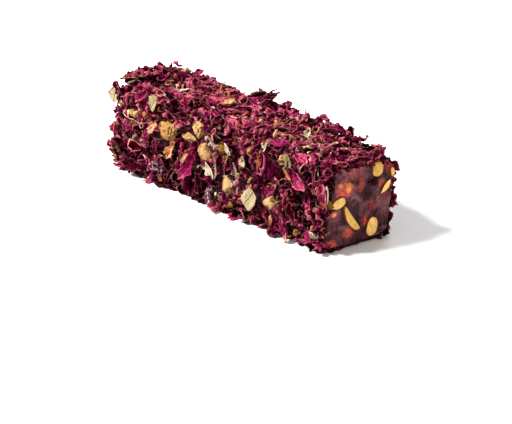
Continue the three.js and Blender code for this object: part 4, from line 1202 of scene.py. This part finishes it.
def scatter_tree():
    """Geometry Nodes that lay petals on a skin: spaced, spun, tilted and lifted at random, crumpled each in
    its own way, then cut by the knife at both ends and pressed flat by the table."""
    tree = bpy.data.node_groups.new("petals laid on a skin", "GeometryNodeTree")
    tree.interface.new_socket(name="Skin", in_out="INPUT", socket_type="NodeSocketGeometry")
    tree.interface.new_socket(name="Coat", in_out="OUTPUT", socket_type="NodeSocketGeometry")
    for name, kind, value in SCATTER_INPUTS:
        socket = tree.interface.new_socket(name=name, in_out="INPUT", socket_type=kind)
        if value is not None:
            socket.default_value = value
    given = {socket.name: Value(tree, socket) for socket in add(tree, "NodeGroupInput").outputs}

    def drawn_for_each(salt, low, high, kind="FLOAT"):
        first, out = (0, 0) if kind == "FLOAT_VECTOR" else (2, 1)
        inputs = {first: low, first + 1: high, 8: given["Seed"] + salt}
        return Value(tree, add(tree, "FunctionNodeRandomValue", inputs, data_type=kind).outputs[out])

    def reckoned(operation, **inputs):
        places = {"one": 0, "other": 1, "by": "Scale"}
        inputs = {places[key]: value for key, value in inputs.items()}
        return add(tree, "ShaderNodeVectorMath", inputs, operation=operation).outputs[0]

    def turned(rotation, angles):
        by = add(tree, "ShaderNodeCombineXYZ", angles).outputs[0]
        inputs = {"Rotation": rotation, "Rotate By": by}
        return add(tree, "FunctionNodeRotateRotation", inputs, rotation_space="LOCAL").outputs[0]

    def moved(shape, **where):
        inputs = {"Geometry": shape, **{key.capitalize(): value for key, value in where.items()}}
        return add(tree, "GeometryNodeSetPosition", inputs).outputs[0]

    def crumpling(rate, detail, much):
        colour = add(tree, "ShaderNodeTexNoise", {"Scale": rate, "Detail": detail}).outputs["Color"]
        return reckoned("SCALE", one=reckoned("SUBTRACT", one=colour, other=(0.5, 0.5, 0.5)), by=much)

    gap = add(tree, "GeometryNodeInputNamedAttribute", {"Name": "kernel_gap"}, data_type="FLOAT").outputs[0]
    clear = add(tree, "FunctionNodeCompare", {0: gap, 1: given["Kernel gap"]}, operation="GREATER_THAN")
    spread = add(
        tree, "GeometryNodeDistributePointsOnFaces",
        {"Mesh": given["Skin"], "Selection": clear.outputs[0], "Distance Min": given["Spacing"],
         "Density Max": 4e6, "Seed": given["Seed"]},
        distribute_method="POISSON",
    )
    normal = spread.outputs["Normal"]
    upright = add(tree, "FunctionNodeAlignRotationToVector", {"Vector": normal}, axis="Z").outputs[0]
    along = add(
        tree, "FunctionNodeAlignRotationToVector", {"Rotation": upright, "Vector": (1, 0, 0)},
        axis="Y", pivot_axis="Z",
    ).outputs[0]
    half_turn = (drawn_for_each(13, 0.0, 1.0) > 0.5) * math.pi
    spun = turned(along, {2: drawn_for_each(11, given["Spin"] * -1, given["Spin"]) + half_turn})
    tilt = drawn_for_each(23, given["Least tilt"], given["Most tilt"])
    lean = drawn_for_each(37, given["Most tilt"] * -0.7, given["Most tilt"] * 0.7)
    raised = reckoned("SCALE", one=normal, by=drawn_for_each(41, given["Low"], given["High"]))
    kinds = add(
        tree, "GeometryNodeCollectionInfo",
        {"Collection": given["Petals"], "Separate Children": True, "Reset Children": True},
    )
    pick = add(tree, "FunctionNodeRandomValue", {4: 0, 5: 999, 8: given["Seed"]}, data_type="INT").outputs[2]
    petals = add(
        tree, "GeometryNodeInstanceOnPoints",
        {"Points": moved(spread.outputs["Points"], offset=raised), "Instance": kinds.outputs[0],
         "Pick Instance": True, "Instance Index": pick, "Rotation": turned(spun, {0: tilt, 1: lean}),
         "Scale": drawn_for_each(53, given["Smallest"], given["Largest"], "FLOAT_VECTOR")},
    ).outputs[0]
    patchy = cloudy(tree, None, 110.0, 2.0) * 1.8 - 0.95
    tint = (drawn_for_each(67, given["Darkest"], given["Lightest"]) + patchy).clip()
    for name, value in (("tint", tint), ("kind", drawn_for_each(71, 0.0, 1.0))):
        store = add(
            tree, "GeometryNodeStoreNamedAttribute", {"Geometry": petals, "Name": name},
            data_type="FLOAT", domain="INSTANCE",
        )
        tree.links.new(value.socket, next(s for s in store.inputs if s.name == "Value" and s.enabled))
        petals = store.outputs[0]
    real = add(tree, "GeometryNodeRealizeInstances", {0: petals}).outputs[0]
    broad = crumpling(given["Crumple rate"], 1.5, given["Crumple"])
    fine = crumpling(given["Crumple rate"] * 2.6, 0.0, given["Crumple"] * 0.45)
    real = moved(real, offset=reckoned("ADD", one=broad, other=fine))
    x, y, z = parts(tree, add(tree, "GeometryNodeInputPosition").outputs[0])
    past = (abs(x) - given["Knife"]).maths("MAXIMUM", 0)
    held = (1 - (past / -GIVE).maths("EXPONENT")) * GIVE
    cut = (abs(x).maths("MINIMUM", given["Knife"]) + held) * x.maths("SIGN")
    under = (z - GIVE).maths("MINIMUM", 0)
    pressed = (under / GIVE).maths("EXPONENT") * GIVE + (z - GIVE).maths("MAXIMUM", 0)
    kept = moved(real, position=add(tree, "ShaderNodeCombineXYZ", {0: cut, 1: y, 2: pressed}).outputs[0])
    done = add(tree, "GeometryNodeSetMaterial", {"Geometry": kept, "Material": given["Material"]}).outputs[0]
    add(tree, "NodeGroupOutput", {0: done})
    return tree


laying = scatter_tree()
GIVEN_IN_MM = ("spacing", "low", "high", "crumple", "kernel_gap", "knife")


def lay_petals(name, skin, kinds, material, slot="rose_petals", **sizes):
    """Runs the scatter on a skin with these petals and sizes, and keeps what it makes as one plain mesh. A
    scale that is one number is the same in length, breadth and height."""
    modifier = skin.modifiers.new("laid", "NODES")
    modifier.node_group = laying
    wanted = {"Petals": kinds, "Material": material}
    for key, value in sizes.items():
        if key in GIVEN_IN_MM:
            value = value * MM
        elif key in ("smallest", "largest") and not isinstance(value, tuple):
            value = (value, value, value)
        wanted[key.replace("_", " ").capitalize()] = value
    for item in laying.interface.items_tree:
        if item.in_out == "INPUT" and item.name in wanted:
            modifier[item.identifier] = wanted[item.name]
    made = bpy.data.meshes.new_from_object(skin.evaluated_get(bpy.context.evaluated_depsgraph_get()))
    skin.modifiers.remove(modifier)
    made.name = name
    piece = bpy.data.objects.new(name, made)
    bpy.context.scene.collection.objects.link(piece)
    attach(piece, "root")


def kinds_of(name, shapes):
    """A collection of different shapes for the scatter to pick from."""
    kinds = bpy.data.collections.new(name)
    bpy.context.scene.collection.children.link(kinds)
    for shape in shapes:
        bpy.context.scene.collection.objects.unlink(shape)
        kinds.objects.link(shape)
    return kinds


def petal_kinds(name, count, seed, form, thick=PETAL_THICK, **sizes):
    shells = [shell_of(dried_sheet(seed + k, form, **sizes), thick) for k in range(count)]
    return kinds_of(name, [petal_piece(f"{name}_{k:02d}", *shell) for k, shell in enumerate(shells)])


def put_away(*things):
    """Removes the skins and petal kinds that were only there to lay petals from."""
    for thing in things:
        objects = list(thing.objects) if isinstance(thing, bpy.types.Collection) else [thing]
        for piece in objects:
            bpy.data.objects.remove(piece)
        if isinstance(thing, bpy.types.Collection):
            bpy.data.collections.remove(thing)


broad_kinds = petal_kinds(
    "broad_petal", 20, 100, petal_form, rows=12, columns=10, long=(8, 11.5), broad=(6.0, 9.5),
    cup=(0.5, 1.7, 1, 1, -1), roll=(-1.0, 3.4), curl=(-0.8, 1.5), twist=(-0.9, 0.9), frill=(0.04, 0.10),
    crease=(0.02, 0.05), fold=(0.8, 2.4, 0, 0, 1),
)
sides = skin_object("sides", ("rear", "front"))
top = skin_object("top", ("top",))
lay_petals(
    "broad_petals_sides", sides, broad_kinds, petal_red, spacing=4.7, smallest=(0.6, 0.7, 0.7),
    largest=(1.05, 1.05, 1.0), least_tilt=-0.2, most_tilt=0.6, low=0.4, high=1.5, crumple=1.15,
    kernel_gap=2.9, darkest=0.15, lightest=0.92, seed=3,
)
lay_petals(
    "broad_petals_top", top, broad_kinds, petal_red, spacing=4.6, smallest=(0.65, 0.8, 0.45),
    largest=(1.0, 1.3, 0.7), spin=0.8, least_tilt=-0.1, most_tilt=0.22, low=0.3, high=1.2, crumple=1.0,
    kernel_gap=2.6, darkest=0.20, lightest=1.0, seed=4,
)


# ---- The crumpled petals ----
# Smaller petals and halves of petals, 5 to 8 mm, that screwed up as they dried. They fill the spaces between
# the broad ones and give the coat most of its frilled, knotted look.
crumpled_kinds = petal_kinds(
    "crumpled_petal", 26, 300, petal_form, rows=9, columns=6, long=(5.5, 9.0), broad=(3.2, 6.2),
    cup=(0.6, 2.2, 1, 1, -1), roll=(-1.0, 3.4), curl=(-0.8, 2.2), twist=(-1.6, 1.6), frill=(0.05, 0.13),
    crease=(0.03, 0.07), fold=(0.8, 2.6, 0, 1),
)
lay_petals(
    "crumpled_petals_sides", sides, crumpled_kinds, petal_red, spacing=3.4, smallest=(0.6, 0.7, 0.7),
    largest=(1.1, 1.2, 1.15), least_tilt=-0.4, most_tilt=1.0, low=-0.7, high=0.6, crumple=1.3, kernel_gap=0.9,
    darkest=0.15, lightest=0.95, seed=5,
)
lay_petals(
    "crumpled_petals_top", top, crumpled_kinds, petal_red, spacing=3.3, smallest=(0.6, 0.9, 0.5),
    largest=(1.1, 1.4, 0.8), spin=0.9, least_tilt=-0.2, most_tilt=0.4, low=-0.6, high=0.5, crumple=1.1,
    kernel_gap=0.9, darkest=0.20, lightest=1.0, seed=6,
)


# ---- The shreds ----
# Crumbs and torn strips of petal, 2 to 4 mm, that the sticky surface took up between the larger petals.
def scrap_form(v):
    return 0.8 + 0.25 * np.sin(5 * v + 1.0) + 0.2 * np.sin(11 * v)


shred_kinds = petal_kinds(
    "shred", 30, 500, scrap_form, rows=4, columns=2, long=(2.2, 4.4), broad=(1.1, 2.6), cup=(0.3, 1.5, 1, -1),
    roll=0.0, curl=(-1.5, 2.6), twist=(-1.6, 1.6), frill=(0.06, 0.16), crease=(0.05, 0.12),
)
walls = skin_object("walls", ("rear", "top", "front"))
lay_petals(
    "petal_shreds", walls, shred_kinds, petal_red, spacing=2.2, smallest=0.6, largest=1.2, least_tilt=-0.7,
    most_tilt=1.1, low=-0.8, high=0.1, kernel_gap=-1.4, seed=9,
)


# ---- The claws and strips ----
# Bare petal feet, sepal strips and scraps of the flower's green cup: cream, tan and orange, stiff and curled.
STRIP_THICK = 0.22 * MM


def claw_form(v):
    return 0.55 + 0.7 * v - 0.35 * v ** 3


def strip_form(v):
    return 0.35 + 2.2 * v * (1 - v) + 0.12 * np.sin(9 * v)


petal_cream = petal_finish("petal foot", FOOT_SHADES, FOOT_SHADES, FOOT_SHADES, (0.50, 0.14, 0.12), rims=0.7)
claw_kinds = petal_kinds(
    "claw", 16, 700, claw_form, rows=4, columns=4, long=(2.6, 4.6), broad=(1.8, 3.2), cup=(0.4, 1.6, 1, -1),
    roll=(-1, 2), curl=(-0.8, 1.6), twist=(-1.0, 1.0), frill=(0.04, 0.12), crease=(0.02, 0.08),
)
strip_kinds = petal_kinds(
    "strip", 16, 800, strip_form, STRIP_THICK, rows=9, columns=2, long=(5.0, 8.5), broad=(0.7, 1.5),
    cup=(0.3, 1.6), roll=0.0, curl=(1.2, 4.2, 1, -1), twist=(-3.0, 3.0), frill=(0.02, 0.10),
    crease=(0.02, 0.06),
)
lay_petals(
    "petal_claws", walls, claw_kinds, petal_cream, spacing=6.8, smallest=0.6, largest=1.3, least_tilt=-0.5,
    most_tilt=0.9, low=0.0, high=1.3, kernel_gap=1.5, seed=13,
)
lay_petals(
    "cream_strips", walls, strip_kinds, petal_cream, spacing=8.4, smallest=0.6, largest=1.0, least_tilt=-0.4,
    most_tilt=0.7, low=0.0, high=1.4, kernel_gap=1.5, seed=15,
)


# ---- The petals at the cuts ----
# The knife bent the last petals of each side outwards, so they stand past the cut in a ragged fringe, with
# crumbs stuck between them. The front cut's fringe starts further out, because the jelly flares more there.
EDGE_WIDE = 3.0
EDGE_CLEAR = 0.3
# the cut, which end it is at, how far under the coat's face the fringe starts, where it ends (mm), a seed
FRINGES = [("front", 1, 0.3, 66.0, 21), ("back", -1, 0.7, 67.2, 23)]
for name, end, inset, knife, seed in FRINGES:
    start, stop = sorted(end * (LENGTH / 2 - inward * MM) for inward in (EDGE_WIDE, EDGE_CLEAR))
    edge = skin_object("edge", ("rear", "top", "front"), COAT_DEPTH - inset * MM, start, stop)
    lay_petals(
        f"fringe_at_{name}_cut", edge, crumpled_kinds, petal_red, spacing=2.0, smallest=0.45, largest=0.85,
        least_tilt=-0.4, most_tilt=0.7, low=-0.6, high=1.3, crumple=1.4, kernel_gap=0.2, knife=knife,
        lightest=0.85, seed=seed,
    )
    lay_petals(
        f"crumbs_at_{name}_cut", edge, shred_kinds, petal_red, spacing=1.3, smallest=0.5, largest=1.0,
        least_tilt=-1.0, most_tilt=1.0, low=-0.6, high=1.0, crumple=1.0, kernel_gap=-0.8, knife=65.6,
        darkest=0.2, lightest=0.95, seed=seed + 20,
    )
    put_away(edge)


# ---- The heaped petals ----
# More petals than elsewhere lie heaped along the top edges of the two cuts, and along the middle of the rear
# edge, where they hide the coat's corner.
HEAP_BASE = COAT_DEPTH + 0.8 * MM
# where, from and to (mm along the bar), how far towards the front it reaches, how high, the knife, and a seed
HEAPS = [
    ("back_cut", -65.0, -56.0, -30.0, 2.2, 67.0, 37), ("front_cut", 55.0, 63.4, -30.0, 1.4, 65.6, 39),
    ("rear_edge", -13.0, 48.0, 9.0, 2.2, 67.0, 41),
]
for name, start, stop, foremost, high, knife, seed in HEAPS:
    heap = skin_object("heap", ("top",), HEAP_BASE, start * MM, stop * MM, edges=name == "rear_edge")
    behind = [vertex.co.y - foremost * MM for vertex in heap.data.vertices]
    heap.data.attributes["kernel_gap"].data.foreach_set("value", behind)
    lay_petals(
        "heaped_at_" + name, heap, crumpled_kinds, petal_red, spacing=2.2, smallest=(0.6, 0.7, 0.6),
        largest=(1.0, 1.0, 0.9), least_tilt=-0.3, most_tilt=0.7, low=-0.7, high=high, crumple=1.2,
        kernel_gap=0.0, knife=knife, darkest=0.15, lightest=0.9, seed=seed,
    )
    put_away(heap)


# ---- The pressed petals underneath ----
# The bar's own weight has pressed the petals on its underside flat against the jelly.
underside = skin_object("underside", ("underside",), edges=False)
lay_petals(
    "pressed_petals", underside, crumpled_kinds, petal_red, spacing=4.2, smallest=(0.9, 0.9, 0.15),
    largest=(1.4, 1.4, 0.3), least_tilt=-0.05, most_tilt=0.05, low=-0.9, high=-0.1, crumple=0.3,
    kernel_gap=1.0, seed=11,
)


# ---- The small sepals ----
# Narrow scraps of the flower's green, a few millimetres long, mixed into the coat.
sepal_kinds = petal_kinds(
    "sepal", 14, 1200, sepal_form, rows=7, columns=4, long=(3.5, 6.5), broad=(0.9, 2.2), cup=(0.4, 1.6),
    roll=0.0, curl=(-1.5, 2.0), twist=(-1.2, 1.2), frill=(0.02, 0.08), crease=(0.01, 0.05),
)
lay_petals(
    "small_sepals", walls, sepal_kinds, dried_leaf, spacing=12.0, smallest=0.7, largest=1.2, least_tilt=-0.3,
    most_tilt=0.7, low=0.3, high=1.4, crumple=0.6, kernel_gap=1.5, darkest=0.2, seed=31,
)


# ---- The threads ----
# Stamens and shreds of stalk, as fine as hair, cream to brown, that stand out of the coat in loops.
thread_kinds = petal_kinds(
    "thread", 16, 1300, strip_form, STRIP_THICK, rows=12, columns=1, long=(5.0, 9.0), broad=(0.26, 0.40),
    cup=0.0, roll=0.0, curl=(1.5, 4.5, 1, -1), twist=(-2.5, 2.5), frill=0.0, crease=0.0,
)
lay_petals(
    "threads", walls, thread_kinds, petal_cream, spacing=9.5, smallest=0.6, largest=1.2, least_tilt=-0.2,
    most_tilt=0.9, low=0.5, high=1.8, crumple=1.2, kernel_gap=0.5, seed=33,
)


# ---- The nut crumbs ----
# Crumbs from chopping the kernels, 1 to 3 mm, golden and tan, caught between the petals.
CRUMB_ROUNDS = 12
CRUMB_LEVELS = 7
CRUMB_SEED = 1400
CRUMB_COUNT = 14
crumbs = []
for k in range(CRUMB_COUNT):
    draw = random.Random(CRUMB_SEED + k)
    halves = [draw.uniform(0.6, 1.2), draw.uniform(0.7, 1.5), draw.uniform(0.5, 0.9)]
    points = []
    for point in ball_points(CRUMB_ROUNDS, CRUMB_LEVELS):
        lump = 1 + 0.9 * noise.noise(Vector(point) * 1.3 + Vector((0, 0, k * 4.0)))
        points.append([value * half * lump * MM for value, half in zip(point, halves)])
    crumb = mesh_piece(f"crumb_{k:02d}", points, ball_faces(CRUMB_ROUNDS, CRUMB_LEVELS))
    paint_nut(crumb, draw.uniform(0.1, 0.9), draw.uniform(-0.2, 0.6), 0.0)
    crumbs.append(crumb)
crumb_kinds = kinds_of("crumbs", crumbs)
lay_petals(
    "nut_crumbs", walls, crumb_kinds, chopped_finish, slot="pistachio", spacing=17.0, smallest=0.6,
    largest=(1.4, 1.4, 1.2), least_tilt=-0.5, most_tilt=0.5, low=0.2, high=1.2, crumple=0.5, kernel_gap=1.0,
    seed=35,
)
put_away(walls, sides, top, underside, broad_kinds, crumpled_kinds, shred_kinds, claw_kinds, strip_kinds)
put_away(sepal_kinds, thread_kinds, crumb_kinds)


# ---- The room ----
# A white table under soft studio light: a large lamp above and in front, two broad weak ones at the cut and
# behind, a small low one that lifts the far end of the front side, and a pale room.
CAMERA_PLACE = Vector((609.5, -491.0, 291.8)) * MM
CAMERA_AIM = Vector((13.8, -8.2, 0)) * MM
LENS = 150.8
SENSOR = 36
TABLE_REACH = 4

white = new_finish("white table", Base_Color=(0.92, 0.92, 0.92, 1), Roughness=0.9)[0]
corners = [(x * TABLE_REACH, y * TABLE_REACH, 0) for x, y in ((-1, -1), (1, -1), (1, 1), (-1, 1))]
table = mesh_piece("table", corners, [(0, 1, 2, 3)], white)

camera_data = bpy.data.cameras.new("camera")
camera_data.lens = LENS
camera_data.sensor_width = SENSOR
camera_data.clip_end = 20
camera = bpy.data.objects.new("camera", camera_data)
camera.location = CAMERA_PLACE
camera.rotation_euler = (CAMERA_AIM - CAMERA_PLACE).to_track_quat("-Z", "Y").to_euler()
bpy.context.scene.collection.objects.link(camera)
bpy.context.scene.camera = camera


def lamp(name, place, aim, size, power):
    data = bpy.data.lights.new(name, "AREA")
    data.size = size
    data.energy = power
    made = bpy.data.objects.new(name, data)
    made.location = place
    made.rotation_euler = (Vector(aim) - Vector(place)).to_track_quat("-Z", "Y").to_euler()
    bpy.context.scene.collection.objects.link(made)


BAR_MIDDLE = (0, 0, 0.02)
FAR_FRONT = (-0.06, -0.02, 0.015)
lamp("key", (-0.42, -0.80, 1.10), BAR_MIDDLE, 0.28, 27)
lamp("fill", (1.20, 0.00, 0.60), BAR_MIDDLE, 0.5, 5)
lamp("back", (-0.5, 0.8, 0.7), BAR_MIDDLE, 0.5, 4)
lamp("left", (-0.34, -0.26, 0.22), FAR_FRONT, 0.16, 0.7)
room = bpy.data.worlds.new("pale room")
room.use_nodes = True
room.node_tree.nodes["Background"].inputs["Color"].default_value = (1, 1, 1, 1)
room.node_tree.nodes["Background"].inputs["Strength"].default_value = 0.25
bpy.context.scene.world = room
bpy.context.scene.view_settings.view_transform = "Standard"
bpy.context.scene.view_settings.look = "High Contrast"
